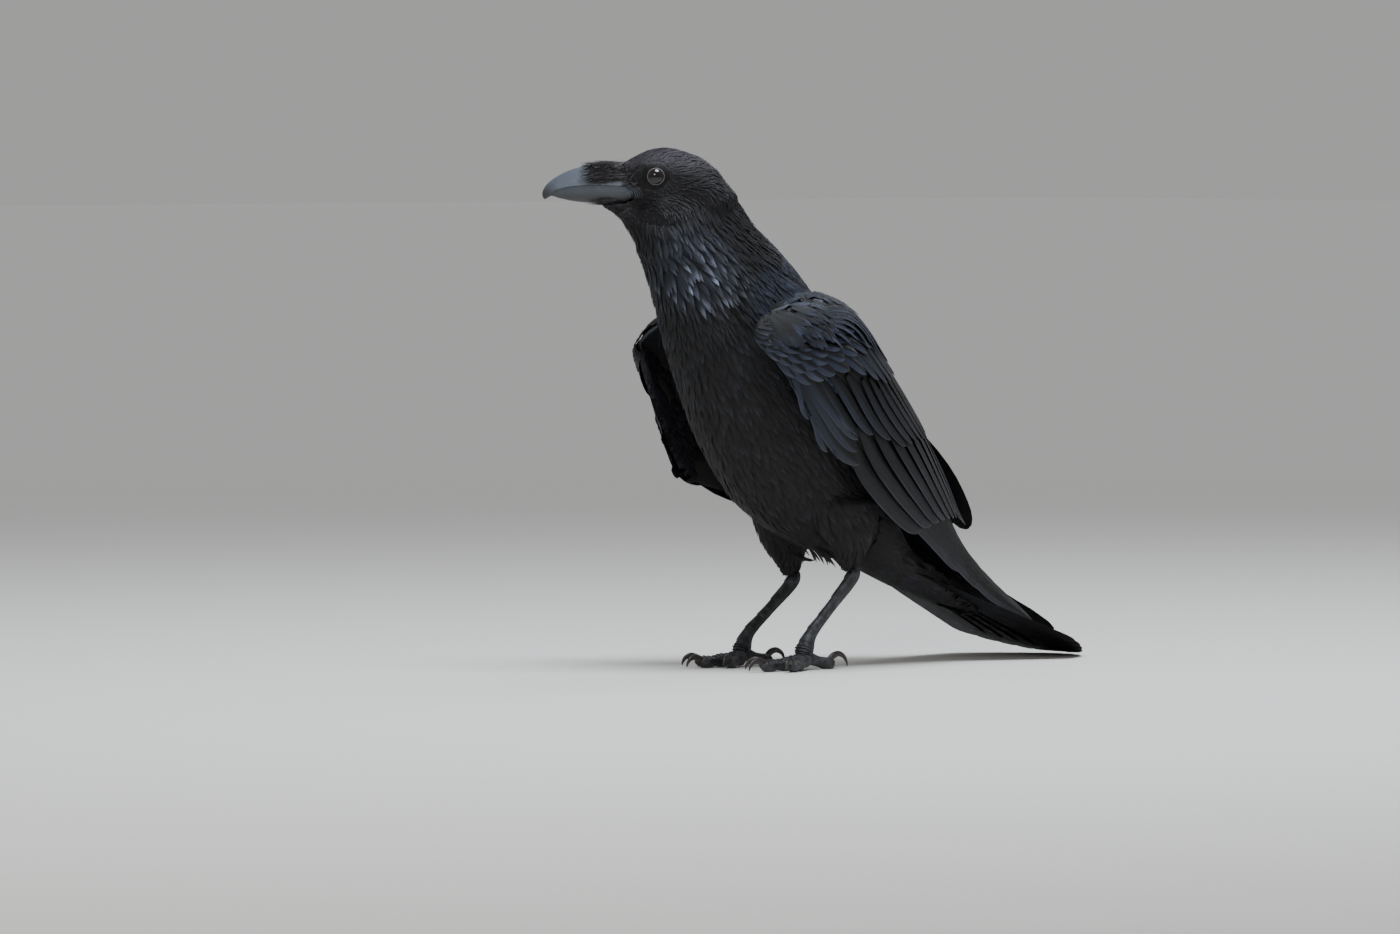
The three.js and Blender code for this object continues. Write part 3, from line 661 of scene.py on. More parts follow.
for kind, (length, half_width, _, lift, thickness, outline_name, painted_sheen) in COAT.items():
    own = roots[kinds == kind]
    count = len(own)
    hackle = hackle_share(own) * (kind == "throat")
    face = np.clip((in_head(own)[:, 0] + 4) / -34, 0, 1) * (kind == "head")
    eye_gap = np.min([np.linalg.norm(own - eye, axis=1) for eye in EYE_MIDDLES], axis=0)
    by_eye = np.clip((0.018 - eye_gap) / 0.009, 0, 1)
    lengths = length * MM * rng.uniform(0.8, 1.2, count) * (1 + 0.5 * hackle) * (1 - 0.5 * by_eye)
    flow = unit(lie_of_coat(own) + rng.normal(0, 0.10, (count, 3)))
    lines, normals = laid_along(skin_tree, own, flow, lengths, 5)
    rise = np.linspace(0.08, 1, 5)[None] * lift * MM * rng.uniform(0.75, 1.15, count)[:, None]
    rise *= ((1 - 0.45 * face) * (1 - 0.5 * by_eye) * (1 + 0.7 * hackle))[:, None]
    widths = (np.array(SMALL_OUTLINE[outline_name])[None] * half_width * MM
              * (rng.uniform(0.85, 1.15, count) * (1 + 0.6 * hackle))[:, None])
    coat = Feathers()
    tones = rng.random(count) ** 2 * (hackle if kind == "throat" else 1)
    coat.add(lines + normals * rise[..., None], normals, widths, thickness * MM, tones,
             root_uv[kinds == kind], camber=0.18)
    coat.piece(f"coat_{kind}", vane_finish(
        f"{kind}_feathers", body_colour, 0.50 if kind in ("throat", "head") else 0.6, 0.0009, painted_sheen,
        least=0.04 if kind == "throat" else 0.2), "plumage")

# ---- Wings ----
# Each folded wing is a curved sheet between three edges, from the wrist at the breast to the tip at the tail.
# A thin bed of arm and down carries the flight feathers, then rows of coverts over them, then scapulars.

WING_EDGES = {
    "leading": [(-96, -62, 262), (-75, -74, 232), (-45, -75, 194), (-13, -73, 163), (34, -68, 134),
                (82, -60, 108), (136, -47, 77), (186, -35, 51), (243, -25, 27)],
    "crest": [(-98, -64, 269), (-53, -77, 258), (-3, -71, 248), (38, -67, 209), (77, -59, 170),
              (110, -50, 135), (147, -40, 93), (189, -31, 59), (246, -23, 30)],
    "trailing": [(-92, -61, 276), (-35, -56, 286), (33, -15, 280), (78, -9, 243), (117, -10, 197),
                 (149, -12, 151), (168, -18, 106), (191, -27, 71), (246, -21, 33)],
}
RIGHT_DROOP = np.array([(4, 10, -16), (-2, 6, -9), (-12, 4, -24), (-24, 4, -20), (-12, 2, -6),
                        (0, 0, 0), (0, 0, 0), (0, 0, 0), (0, 0, 0)])
DROOP_SHARE = {"leading": 1.0, "crest": 0.6, "trailing": 0.15}
RIGHT_TIP_SHIFT = np.array((34, -33, -9))
WING_STEP = 0.01


def along_curve(points, share):
    """Points on a smooth curve through the given ones; share, 0 to 1, may pass the ends a little."""
    points = np.asarray(points, float)
    last = len(points) - 1
    padded = np.vstack([2 * points[0] - points[1], points, 2 * points[last] - points[last - 1]])
    x = np.asarray(share) * last
    i = np.clip(np.floor(x).astype(int), 0, last - 1)
    w = (x - i)[..., None]
    p0, p1, p2, p3 = (padded[i + k] for k in range(4))
    return 0.5 * (2 * p1 + (p2 - p0) * w + (2 * p0 - 5 * p1 + 4 * p2 - p3) * w ** 2
                  + (3 * p1 - p0 - 3 * p2 + p3) * w ** 3)


def wing_edges(side):
    edges = {}
    for name, points in WING_EDGES.items():
        points = np.array(points, float)
        if side > 0:
            points[:, 1] *= -1
            share = np.full((9, 1), DROOP_SHARE[name])
            share[0] = 1
            points += share * RIGHT_DROOP + (np.arange(9)[:, None] / 8) ** 3 * RIGHT_TIP_SHIFT
        edges[name] = points * MM + np.array(ORIGIN)
    return edges


class WingSheet:
    """Places on a folded wing: s from the wrist to the tip, t from the leading to the trailing edge."""

    def __init__(self, side):
        self.side = side
        self.edges = wing_edges(side)

    def flat(self, s, t):
        low, middle, high = (along_curve(self.edges[name], s) for name in ("leading", "crest", "trailing"))
        t = np.asarray(t)[..., None]
        return low * (1 - t) * (1 - 2 * t) + middle * 4 * t * (1 - t) + high * t * (2 * t - 1)

    def slopes(self, surface, s, t):
        s = np.clip(s, WING_STEP, 1 - WING_STEP)
        t = np.clip(t, -0.05, 1.05)
        along = surface(s + WING_STEP, t) - surface(s - WING_STEP, t)
        across = surface(s, t + WING_STEP) - surface(s, t - WING_STEP)
        return unit(np.cross(along, across)) * -self.side

    def swollen(self, s, t):
        """The sheet as the arm under it swells it, rounding off to both edges."""
        arm = np.sqrt(np.clip(np.asarray(s) / 0.09, 0, 1)) * np.clip(1 - np.asarray(s) / 0.62, 0, 1)
        edge = np.sqrt(np.clip(1 - np.abs(2 * np.asarray(t) - 1) ** 5, 0, 1))
        swell = (0.2 + 8.4 * arm) * edge * MM
        return self.flat(s, t) + self.slopes(self.flat, s, t) * swell[..., None]

    def normal(self, s, t):
        return self.slopes(self.swollen, s, t)

    def at(self, s, t, lift):
        return self.swollen(s, t) + self.normal(s, t) * np.asarray(lift)[..., None]


def closed_loft(name, sections, finish=None, sharp=None, around=False):
    """A closed mesh through rings of points, (rings, points, 3), capped or, if around, joined end to end.
    Edges sharper than sharp, in degrees, stay sharp."""
    corners = np.arange(sections.shape[0] * sections.shape[1]).reshape(sections.shape[:2])
    after = np.roll(corners, -1, axis=1)
    faces = np.stack([corners, after, np.roll(after, -1, axis=0), np.roll(corners, -1, axis=0)], axis=-1)
    faces = faces[:None if around else -1].reshape(-1, 4).tolist()
    if not around:
        faces += [corners[0, ::-1].tolist(), corners[-1].tolist()]
    made = new_piece(name, sections, faces)
    edit((bpy.ops.mesh.normals_make_consistent, {"inside": False}))
    if sharp:
        bpy.ops.object.shade_smooth_by_angle(angle=math.radians(sharp))
    else:
        bpy.ops.object.shade_smooth()
    if finish:
        made.data.materials.append(finish.material)
    return made


BED_END = 0.62
BED_RINGS = 14
BED_ACROSS = 9


def wing_bed(sheet, name):
    """The arm and the down under the coverts, thick at the wrist and thin behind."""
    rings = []
    t = np.linspace(0.03, 0.97, BED_ACROSS)
    for s in np.linspace(0, BED_END, BED_RINGS):
        along = np.full(BED_ACROSS, s)
        top = sheet.at(along, t, np.full(BED_ACROSS, -0.0006))
        under = sheet.flat(along, t[::-1]) - sheet.slopes(sheet.flat, along, t[::-1]) * 0.0016
        edges = [sheet.flat(np.array([s]), np.array([end])) for end in (1.0, 0.0)]
        rings.append(np.concatenate([top, edges[0], under, edges[1]]))
    rings = np.array(rings)
    bed = closed_loft(name, rings, skin_finish)
    modify(bed, "SUBSURF", levels=1, render_levels=1)
    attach(bed, "root")
    return bed, rings


def stations_to_tip(count):
    """Stations from 0 to 1 that crowd towards the round tip."""
    return 1 - (1 - np.linspace(0, 1, count)) ** 1.45


def grid_cells(count):
    """One cell of the bake map for each long feather: middles and size."""
    columns = math.ceil(math.sqrt(count * 4))
    lines = math.ceil(count / columns)
    i = np.arange(count)
    middles = np.stack([(i % columns + 0.5) / columns, (i // columns + 0.5) / lines], axis=1)
    return middles, (0.86 / columns, 0.94 / lines)


# Where the tips of a row lie along the wing (second list) at some places across it (first list)
SECONDARY_TIPS = [0, 0.58, 0.875, 1.15], [0.632, 0.697, 0.722, 0.768]
GREATER_TIPS = [0.1, 0.18, 0.27, 0.365, 0.64, 1.1], [0.335, 0.36, 0.408, 0.46, 0.51, 0.56]
MEDIAN_TIPS = [0.1, 0.295, 0.37, 0.515, 0.75, 1.0], [0.175, 0.222, 0.275, 0.345, 0.385, 0.42]
PRIMARY_TIPS = [0.78, 0.86, 0.93, 0.97, 1.0, 0.99, 0.96, 0.92, 0.87]
LESSER_LINES = [0.80, 0.64, 0.50, 0.37, 0.26, 0.16]     # as shares of the median coverts' tips
SCAPULAR_TIPS = [
    (0.200, 0.42), (0.222, 0.47), (0.240, 0.53), (0.272, 0.57), (0.292, 0.63), (0.318, 0.66), (0.305, 0.72),
    (0.345, 0.74), (0.328, 0.80), (0.372, 0.83), (0.350, 0.88), (0.392, 0.90), (0.362, 0.92), (0.380, 0.94)]

# Each feather: root s and t, tip s and t, half width, root lift and tip lift in millimetres, bow
PRIMARIES = [
    (0.40, 0.5 * t, tip, t, 8.6, -1.6 + 0.1 * i, -1.2 - 0.25 * i, 0.0)
    for i, tip in enumerate(PRIMARY_TIPS) for t in [0.08 + 0.72 * i / (len(PRIMARY_TIPS) - 1)]]
SECONDARIES = [
    (0.34, 0.10 + 0.74 * t, np.interp(t, *SECONDARY_TIPS), t, 10.0, -0.4 + 0.12 * i, 0.7 + 0.28 * i, -0.02)
    for i, t in enumerate(np.linspace(0, 1.12, 10))]
EDGE_FEATHERS = [  # the alula and the coverts of the primaries, along the leading edge
    (0.11, 0.10, 0.235, -0.02, 6.0, -0.8, 0.2, 0.0),
    (0.17, 0.04, 0.330, -0.03, 7.0, -1.0, 0.0, 0.02),
    (0.16, 0.08, 0.403, 0.045, 8.0, 0.0, 1.2, -0.03),
    (0.13, 0.12, 0.375, 0.080, 7.4, 0.4, 1.8, -0.02),
    (0.12, 0.14, 0.355, 0.120, 6.8, 1.0, 2.4, -0.02)]
GREATER_COVERTS = [
    (tip - 0.17, 0.06 + 0.84 * t, tip, t, 6.9, 0.4, 2.4 + 0.1 * i, -0.015)
    for i, t in enumerate(np.linspace(0.13, 1.0, 12)) for tip in [np.interp(t, *GREATER_TIPS)]]
MEDIAN_COVERTS = [
    (tip - 0.10, 0.03 + 0.92 * t, tip, t, 6.9, 0.6, 3.0, 0.0)
    for t in np.linspace(0.10, 0.99, 13) for tip in [np.interp(t, *MEDIAN_TIPS)]]
LESSER_COVERTS = [
    (max(tip - 0.012 * half, 0.0), 0.02 + 0.96 * t, tip, t, half, 0.8, 3.0, 0.0)
    for i, share in enumerate(LESSER_LINES) for half in [5.8 - 0.5 * i]
    for t in np.linspace(0.05, 1.0, 13 - i) + 0.5 * (i % 2) / (13 - i)
    for tip in [share * np.interp(t, *MEDIAN_TIPS)]]
SCAPULARS = [
    (0.035 + 0.007 * i, 0.66 + 0.023 * i, s, t, 3.7, 2.0, 4.8 - 0.14 * i, 0.055 - 0.004 * i)
    for i, (s, t) in enumerate(SCAPULAR_TIPS)]

WING_ROWS = [  # name, feathers, stations, outline (root, widest, tip from, blunt), thickness, camber, tilt
    ("primaries", PRIMARIES, 16, (0.45, 0.5, 0.86, 0.16), 0.8, 0.10, 0.10),
    ("secondaries", SECONDARIES, 16, (0.5, 0.4, 0.86, 0.12), 0.8, 0.10, 0.18),
    ("edge_feathers", EDGE_FEATHERS, 13, (0.5, 0.4, 0.72, 0.12), 0.8, 0.14, 0.10),
    ("greater_coverts", GREATER_COVERTS, 13, (0.5, 0.4, 0.64, 0.08), 0.7, 0.15, 0.22),
    ("median_coverts", MEDIAN_COVERTS, 11, (0.55, 0.4, 0.66, 0.2), 0.6, 0.16, 0.18),
    ("lesser_coverts", LESSER_COVERTS, 9, (0.6, 0.4, 0.55, 0.14), 0.5, 0.16, 0.15),
    ("scapulars", SCAPULARS, 13, (0.5, 0.4, 0.70, 0.08), 0.7, 0.20, 0.30)]
WRIST = at(-60, -66, 262)


def near_wrist(finish):
    """1 at the wrist and 0 from the greater coverts' tips outward."""
    return finish.between(finish.distance(WRIST) + 0.03 * finish.noise(finish.place(), 26.0), 0.165, 0.045)


def wing_colour(finish):
    """Black with a painted blue-grey sheen at the wrist and over the coverts, browner towards the tips."""
    brown = 0.9 * finish.between(finish.attribute("reach"), 0.55, 0.95)
    dark = finish.mix(brown, (0.0078, 0.0080, 0.0105), (0.0070, 0.0056, 0.0052))
    # Painted sheen: blue-grey near the wrist
    return finish.mix(near_wrist(finish) * 0.85, dark, (0.0175, 0.0245, 0.046))


# Painted blue sheen towards the feathers' tips, strongest near the wrist, with the long feathers' wear, painted
# shadow and painted highlight
wing_finish = vane_finish("wing_feathers", wing_colour, 0.44, 0.0012, (0.062, 0.068, 0.105), 0.22, 0.7,
                          sheen_at=lambda finish: 0.22 + 0.78 * near_wrist(finish))

MARGINAL_COUNT = 520


def tree_of(piece):
    return BVHTree.FromObject(piece, bpy.context.evaluated_depsgraph_get())


def marginal_coverts(bed, rings, name):
    """Scale-like feathers that wrap the wrist and the leading edge, on both faces of the bed."""
    count = rings.shape[1]
    s = rng.random(MARGINAL_COUNT) ** 1.2 * (BED_RINGS - 7)
    i, share = s.astype(int), (s - s.astype(int))[:, None]
    around = np.clip(rng.normal(0, 1.5, MARGINAL_COUNT), -3.4, 3.4) + count - 1
    j = np.floor(around).astype(int)
    part = (around - j)[:, None]
    corner = [rings[i + a, (j + b) % count] for a in (0, 1) for b in (0, 1)]
    places = ((corner[0] * (1 - part) + corner[1] * part) * (1 - share)
              + (corner[2] * (1 - part) + corner[3] * part) * share)
    flow = unit(rings[i + 1, -1] - rings[i, -1] + rng.normal(0, 0.004, (MARGINAL_COUNT, 3)))
    length = (7.0 + 1.1 * s) * rng.uniform(0.85, 1.15, MARGINAL_COUNT) * MM
    feathers = Feathers()
    feathers.lay(tree_of(bed), places, flow, length, 6, lambda v: (0.2 + 1.1 * v) * MM,
                 lambda v: outline(v, 0.6, 0.45, 0.55, 0.2) * (length * 0.30)[:, None], 0.0003,
                 np.stack([s / BED_RINGS, (around % count) / count], axis=1))
    return feathers.piece(name, wing_finish, "flight")


wing_beds = []
for side, side_name in SIDES:
    sheet = WingSheet(side)
    bed, rings = wing_bed(sheet, f"wing_bed_{side_name}")
    wing_beds.append(bed)
    pieces = [bed, marginal_coverts(bed, rings, f"marginal_coverts_{side_name}")]
    for kind, rows, stations, shape, thickness, camber, tilt in WING_ROWS:
        v = stations_to_tip(stations)[None]
        rs, rt, ts, tt, half, low, high, bow = np.array(rows, float).T[:, :, None]
        s = rs + (ts - rs) * v
        t = rt + (tt - rt) * v + bow * np.sin(v * math.pi)
        feathers = Feathers(LONG_SECTION)
        feathers.add(sheet.at(s, t, (low + (high - low) * v) * MM), sheet.normal(s, t),
                     outline(v, *shape) * (half * MM), thickness * MM, rng.random(len(rows)),
                     *grid_cells(len(rows)), camber=camber, tilt=-side * tilt)
        pieces.append(feathers.piece(f"{kind}_{side_name}", wing_finish, "flight"))
    for piece in pieces:
        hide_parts(f"wing_{side_name}")

# ---- Mantle feathers ----
# Broad soft feathers of the shoulders and back that drape over the upper edges of both wings.
# They are rooted on a smooth form that bridges the gap between the body and the wings.


def draped(*covers):
    """A smooth form over several pieces, as soft feathers would bridge them: points, normals, search tree."""
    drape = joined_copy(*covers)
    modify(drape, "REMESH", mode="VOXEL", voxel_size=DRAPE_VOXEL)
    modify(drape, "SMOOTH", factor=0.5, iterations=24)
    verts = read(drape.data.vertices, "co", 3, 3)
    normals = read(drape.data.vertices, "normal", 3, 3)
    tree = tree_of(drape)
    bpy.data.objects.remove(drape)
    return verts, normals, tree


def gaps(trees, points):
    """How far each point is from the nearest of some surfaces, in millimetres."""
    return np.min([[tree.find_nearest(Vector(point))[3] for point in points] for tree in trees], axis=0) / MM


drape_verts, drape_normals, drape_tree = draped(skin, *wing_beds)
wing_trees = [tree_of(bed) for bed in wing_beds]

MANTLE_COUNT = 2200
x, y, z = ((drape_verts - np.array(ORIGIN)) / MM).T
y = np.abs(y)
top = drape_normals[:, 2] + 0.35 * drape_normals[:, 0]
by_wing = gaps(wing_trees, drape_verts)
over_back = (by_wing > 2.5) & (top > 0.25) & (x > -66 + 0.3 * y) & (x < 150 - 2.6 * y) & (z > 95)
over_shoulder = (x > -95) & (x < -8 - 0.5 * y) & (z > 264) & (z < 306) & (y > 14) & (by_wing < 17)
picked = rng.choice(np.flatnonzero(over_back | over_shoulder), MANTLE_COUNT)
spots = drape_verts[picked] + rng.normal(0, 0.002, (MANTLE_COUNT, 3))
_, flow = along_spine(spots)
nearness = bell(x[picked] + 50, 45)
length = (0.018 + 0.010 * (1 - nearness)) * rng.uniform(0.85, 1.15, MANTLE_COUNT)
lines, normals = laid_along(drape_tree, spots, unit(flow + rng.normal(0, 0.08, (MANTLE_COUNT, 3))), length, 6)
over_wing = np.clip((10 - gaps(wing_trees, lines.reshape(-1, 3)).reshape(-1, 6)) / 6, 0, 1)
v = np.linspace(0, 1, 6)[None]
mantle = Feathers()
half = (0.0026 + 0.0018 * (1 - nearness)) * rng.uniform(0.85, 1.15, MANTLE_COUNT)
mantle.add(lines + normals * ((0.8 + 2.0 * v + 4.6 * over_wing) * MM)[..., None], normals,
           outline(v, 0.55, 0.4, 0.5, 0.12) * half[:, None], 0.0003, rng.random(MANTLE_COUNT) ** 1.5,
           places_on_unwrap(spots), camber=0.2)
# Painted blue sheen towards the tips of the mantle feathers
mantle_finish = vane_finish("mantle_feathers", body_colour, 0.52, 0.0011, (0.032, 0.042, 0.075))
mantle.piece("mantle", mantle_finish, "plumage")

# ---- Tail ----
# Twelve flat feathers in a shallow wedge, the outer ones shorter and lower, laid at the level of the feet.
# Their tips are worn round and edged paler; soft coverts overlap their roots above and below.

TAIL_DROP = math.radians(21.7)
FROM_TAIL = Matrix.Translation(at(84, 0, 88)) @ Matrix.Rotation(TAIL_DROP, 4, "Y")
TAIL_LENGTH = 0.240
TAIL_FEATHERS = 12
TAIL_FAN = math.radians(13.5)
TAIL_HALF_WIDTH = 0.0145
TAIL_LEVEL = 0.0013           # the lowest that a feather's middle line goes, so that all of it clears the floor

v = stations_to_tip(18)
index = np.arange(TAIL_FEATHERS)
middle = (TAIL_FEATHERS - 1) / 2
outward = np.abs(index - middle) / middle
turns = TAIL_FAN * (index - middle) / middle
lengths = TAIL_LENGTH - 0.044 * outward ** 1.6 - 0.0015 * rng.random(TAIL_FEATHERS)
drops = outward * middle * 0.0009 + np.where(index < middle, 0.0004, 0)
reach = lengths[:, None] * v[None]
centres = moved(np.stack([reach * np.cos(turns)[:, None],
                          reach * np.sin(turns)[:, None] + ((index - middle) * 0.0015)[:, None],
                          np.broadcast_to(-drops[:, None], reach.shape)], axis=-1), FROM_TAIL)
centres[..., 2] = np.maximum(centres[..., 2], TAIL_LEVEL)
normals = np.broadcast_to(np.array(FROM_TAIL.to_3x3() @ Vector((0, 0, 1))), centres.shape)
widths = outline(v[None], 0.4, 0.55, 0.90, 0.16) * np.full((TAIL_FEATHERS, 1), TAIL_HALF_WIDTH)
tail_feathers = Feathers(LONG_SECTION)
tail_feathers.add(centres, normals, widths, 0.0009, rng.random(TAIL_FEATHERS), *grid_cells(TAIL_FEATHERS),
                  camber=0.03)
# A faint painted sheen towards the tips, and brown wear at them
tail_finish = vane_finish("tail_feathers", wing_colour, 0.58, 0.0012, (0.014, 0.014, 0.018), 0.06, 0.8)
tail_piece = tail_feathers.piece("tail_feathers", tail_finish, "flight")


def ring_loft(rows, rings, sides, relief=None, square=1.0):
    """Rings of a loft through rows of (x, y, z, half width, height above, height below) in millimetres."""
    shares = np.linspace(0, 1, rings)
    spots = along_curve(np.array(rows, float), shares)
    angle = circle(sides)
    tangent = unit(np.gradient(spots[:, :3], axis=0))
    aside = np.array([0, 1.0, 0])
    up = unit(np.cross(tangent, aside))
    cos, sin = np.cos(angle)[None], np.sin(angle)[None]
    extra = 0 if relief is None else relief(shares[:, None], angle[None])
    height = np.where(sin > 0, spots[:, 4, None], spots[:, 5, None])
    wide = np.sign(cos) * np.abs(cos) ** square * (spots[:, 3, None] + extra)
    points = spots[:, None, :3] + aside * wide[..., None] + up[:, None] * (sin * (height + extra))[..., None]
    return points * MM


TAIL_BED_ROWS = [(6, 0, 2, 25, 10, 13), (50, 0, -1, 26, 5, 9), (90, 0, -3, 20, 2, 4), (118, 0, -4, 8, 0.8, 1)]
tail_bed = closed_loft("tail_bed", moved(ring_loft(TAIL_BED_ROWS, 12, 24), FROM_TAIL), skin_finish)
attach(tail_bed, "root")

COVERT_LINES, COVERTS_AROUND = 13, 15
covert_roots, covert_uv = [], []
for line, x in enumerate(np.linspace(8, 92, COVERT_LINES)):
    width = np.interp(x, [0, 50, 90, 118], [25, 26, 20, 8])
    for angle in circle(COVERTS_AROUND) + 0.21 * (line % 2):
        covert_roots.append((x, width * math.cos(angle), 12 * math.sin(angle)))
        covert_uv.append((0.15 + x / 120, 0.05 + 0.9 * angle / 7))
towards_tail = np.array(FROM_TAIL.to_3x3() @ Vector((1, 0, 0)))
count = len(covert_roots)
flow = unit(towards_tail + rng.normal(0, 0.05, (count, 3)))
lengths = np.repeat(np.linspace(0.026, 0.052, COVERT_LINES), COVERTS_AROUND) * rng.uniform(0.9, 1.1, count)
coverts = Feathers(LONG_SECTION)
coverts.lay(tree_of(tail_bed), moved(np.array(covert_roots) * MM, FROM_TAIL), flow, lengths, 8,
            lambda v: (0.3 + 2.2 * v) * MM,
            lambda v: outline(v, 0.5, 0.4, 0.6, 0.12) * rng.uniform(0.0055, 0.0072, count)[:, None],
            0.0005, np.array(covert_uv), 2, camber=0.18)
covert_finish = vane_finish("tail_coverts", body_colour, 0.58, 0.0011)
tail_coverts = coverts.piece("tail_coverts", covert_finish, "plumage")
for piece in (tail_piece, tail_bed, tail_coverts):
    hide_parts("tail")

# ---- Vent and rump feathers ----
# Longer soft feathers of the body's end that lap over the roots of the tail all round,
# and a few ragged tufts that hang under the belly between the legs.

VENT_COUNT = 1500
TUFT_COUNT = 34
rear_verts, rear_normals, rear_tree = draped(skin, tail_bed)
x, y, z = ((rear_verts - np.array(ORIGIN)) / MM).T
below = rear_normals[:, 2] + 0.35 * rear_normals[:, 0]
by_leg = thigh_share(rear_verts)[0]
zone = (x > 62) & (x < 138) & (z < 118) & (below < 0.55) & (by_leg < 0.35)
picked = rng.choice(np.flatnonzero(zone), VENT_COUNT)
spots = rear_verts[picked] + rng.normal(0, 0.002, (VENT_COUNT, 3))
vent = Feathers()
vent.lay(rear_tree, spots, unit(towards_tail + rng.normal(0, 0.09, (VENT_COUNT, 3))),
         rng.uniform(0.024, 0.036, VENT_COUNT), 7, lambda v: (2.4 + 2.6 * v) * MM,
         lambda v: outline(v, 0.5, 0.4, 0.45, 0.1) * rng.uniform(0.0030, 0.0042, VENT_COUNT)[:, None],
         0.0003, places_on_unwrap(spots), 2)
spots = np.array([at(rng.uniform(10, 42), rng.uniform(-14, 14), 80) for _ in range(TUFT_COUNT)])
vent.lay(skin_tree, spots, np.tile([0.9, 0, -0.3], (TUFT_COUNT, 1)), rng.uniform(0.010, 0.018, TUFT_COUNT), 6,
         lambda v: (1.5 + rng.uniform(3, 9, TUFT_COUNT)[:, None] * v ** 1.5) * MM,
         lambda v: outline(v, 0.6, 0.3, 0.3, 0.08) * np.full((TUFT_COUNT, 1), 0.0016),
         0.0003, places_on_unwrap(spots), camber=0.0)
vent.piece("vent_and_rump", bpy.data.materials["breast_feathers"], "plumage")

# ---- Bill ----
# Two halves of satin slate-blue horn over bone: a heavy arched upper one with a hooked tip,
# and a shallower lower one that closes inside its cutting edge.

UPPER_BILL_ROWS = [  # x, y, z, half width, above, below, in the head's frame
    (-100.8, 0, -10.2, 0.8, 1.2, 0.9), (-98.3, 0, -6.6, 2.4, 4.5, 2.6), (-92, 0, -3, 4.3, 7.6, 1.9),
    (-82, 0, -0.8, 6.2, 11.3, 0.8), (-68, 0, 0.4, 8.6, 14.5, 0.8), (-50, 0, 0.2, 11.3, 16.8, 0.8),
    (-31, 0, -0.6, 14.0, 17.0, 0.6)]
LOWER_BILL_ROWS = [
    (-97.6, 0, -6.4, 1.0, 1.2, 1.5), (-92, 0, -3.9, 2.9, 1.8, 5.6), (-82, 0, -1.6, 5.0, 2.0, 9.9),
    (-68, 0, -0.5, 7.4, 2.2, 12.4), (-50, 0, -0.7, 10.0, 2.4, 12.4),
    (-35, 0, -1.3, 12.6, 2.4, 11.4), (-26, 0, -4.0, 12.0, 1.0, 6.0)]
TOP, BOTTOM = math.pi / 2, 1.5 * math.pi


def upper_relief(share, angle):
    """A flange along the cutting edge and a soft ridge down the culmen."""
    edge = 0.35 * bell(np.sin(angle) - 0.02, 0.10)
    ridge = 0.45 * bell(angle - TOP, 0.28)
    flat = -0.7 * bell(np.abs(angle - TOP) - 0.75, 0.35)
    return (edge + ridge + flat) * np.clip(share * 5, 0, 1)


def lower_relief(share, angle):
    """A keel under the chin between two flatter sides."""
    keel = 0.4 * bell(angle - BOTTOM, 0.3)
    flat = -0.4 * bell(np.abs(angle - BOTTOM) - 0.8, 0.3)
    return (keel + flat) * np.clip(share * 5, 0, 1)


bill_finish = Finish("bill_horn")
place = bill_finish.place()
stretched = bill_finish.node("ShaderNodeMapping", {}, {
    "Vector": place, "Rotation": (0, 0, -HEAD_TURN), "Scale": (40.0, 500.0, 500.0)})
streaks = bill_finish.noise(stretched, 1.0, 4.0)
cloud = bill_finish.noise(place, 70.0)
# Painted shade: the lower part of the lower bill darkens towards the bottom
low = bill_finish.between(bill_finish.xyz(place)[2], HEAD_MIDDLE.z - 0.001, HEAD_MIDDLE.z - 0.009)
tip = bill_finish.between(bill_finish.distance(head_at(-100, 0, -8)) + 0.01 * cloud, 0.022, 0.002)
slate = bill_finish.mix(cloud, (0.048, 0.059, 0.078), (0.078, 0.095, 0.122))
brown = bill_finish.mix(0.8 * low, slate, (0.021, 0.019, 0.020))
bill_finish.shader(
    Base_Color=bill_finish.mix(0.8 * tip, brown, (0.022, 0.019, 0.019)),
    Roughness=0.34 + 0.16 * streaks,
    Coat_Roughness=0.3,
    Normal=bill_finish.bump(streaks + 0.3 * bill_finish.noise(place, 1500.0, 2.0), 0.35, 0.0003))

bill_pieces = []
for name, rows, relief, node in (("upper_bill", UPPER_BILL_ROWS, upper_relief, "bill_upper"),
                                 ("lower_bill", LOWER_BILL_ROWS, lower_relief, "bill_lower")):
    half = closed_loft(name, moved(ring_loft(rows, 56, 36, relief, 0.9), FROM_HEAD), bill_finish, 55)
    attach(half, "root")
    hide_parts(node)
    bill_pieces.append(half)

# ---- Corner of the mouth ----
# Soft bare skin where the two halves meet, in fine curved folds that run down behind the bill.
# Each side's folds are joined into one piece, slate in front and black where the feathers begin.

gape_finish = Finish("gape_skin")
behind = gape_finish.between(
    gape_finish.distance(head_at(-37, -15, -5), head_at(-37, 15, -5)), 0.005, 0.0135)
gape_finish.shader(
    Base_Color=gape_finish.mix(behind, (0.044, 0.054, 0.070), (0.006, 0.006, 0.008)),
    Roughness=0.45,
    Normal=gape_finish.bump(gape_finish.noise(gape_finish.place(), 1200.0), 0.3, 0.0003))

front_verts, front_faces, offset = [skin_verts], skin_faces.tolist(), len(skin_verts)
for half in bill_pieces:
    front_verts.append(read(half.data.vertices, "co", 3, 3))
    front_faces += [[v + offset for v in polygon.vertices] for polygon in half.data.polygons
                    if len(polygon.vertices) == 4]
    offset += len(half.data.vertices)
front_tree = BVHTree.FromPolygons(np.concatenate(front_verts).tolist(), front_faces)


def surface_out(x, z, side):
    """How far out the side of the bill or cheek lies at a place in the head's frame, in millimetres."""
    inward = FROM_HEAD.to_3x3() @ Vector((0, -side, 0))
    return in_head(np.array([front_tree.ray_cast(head_at(x, side * 45, z), inward)[0]]))[0, 1]


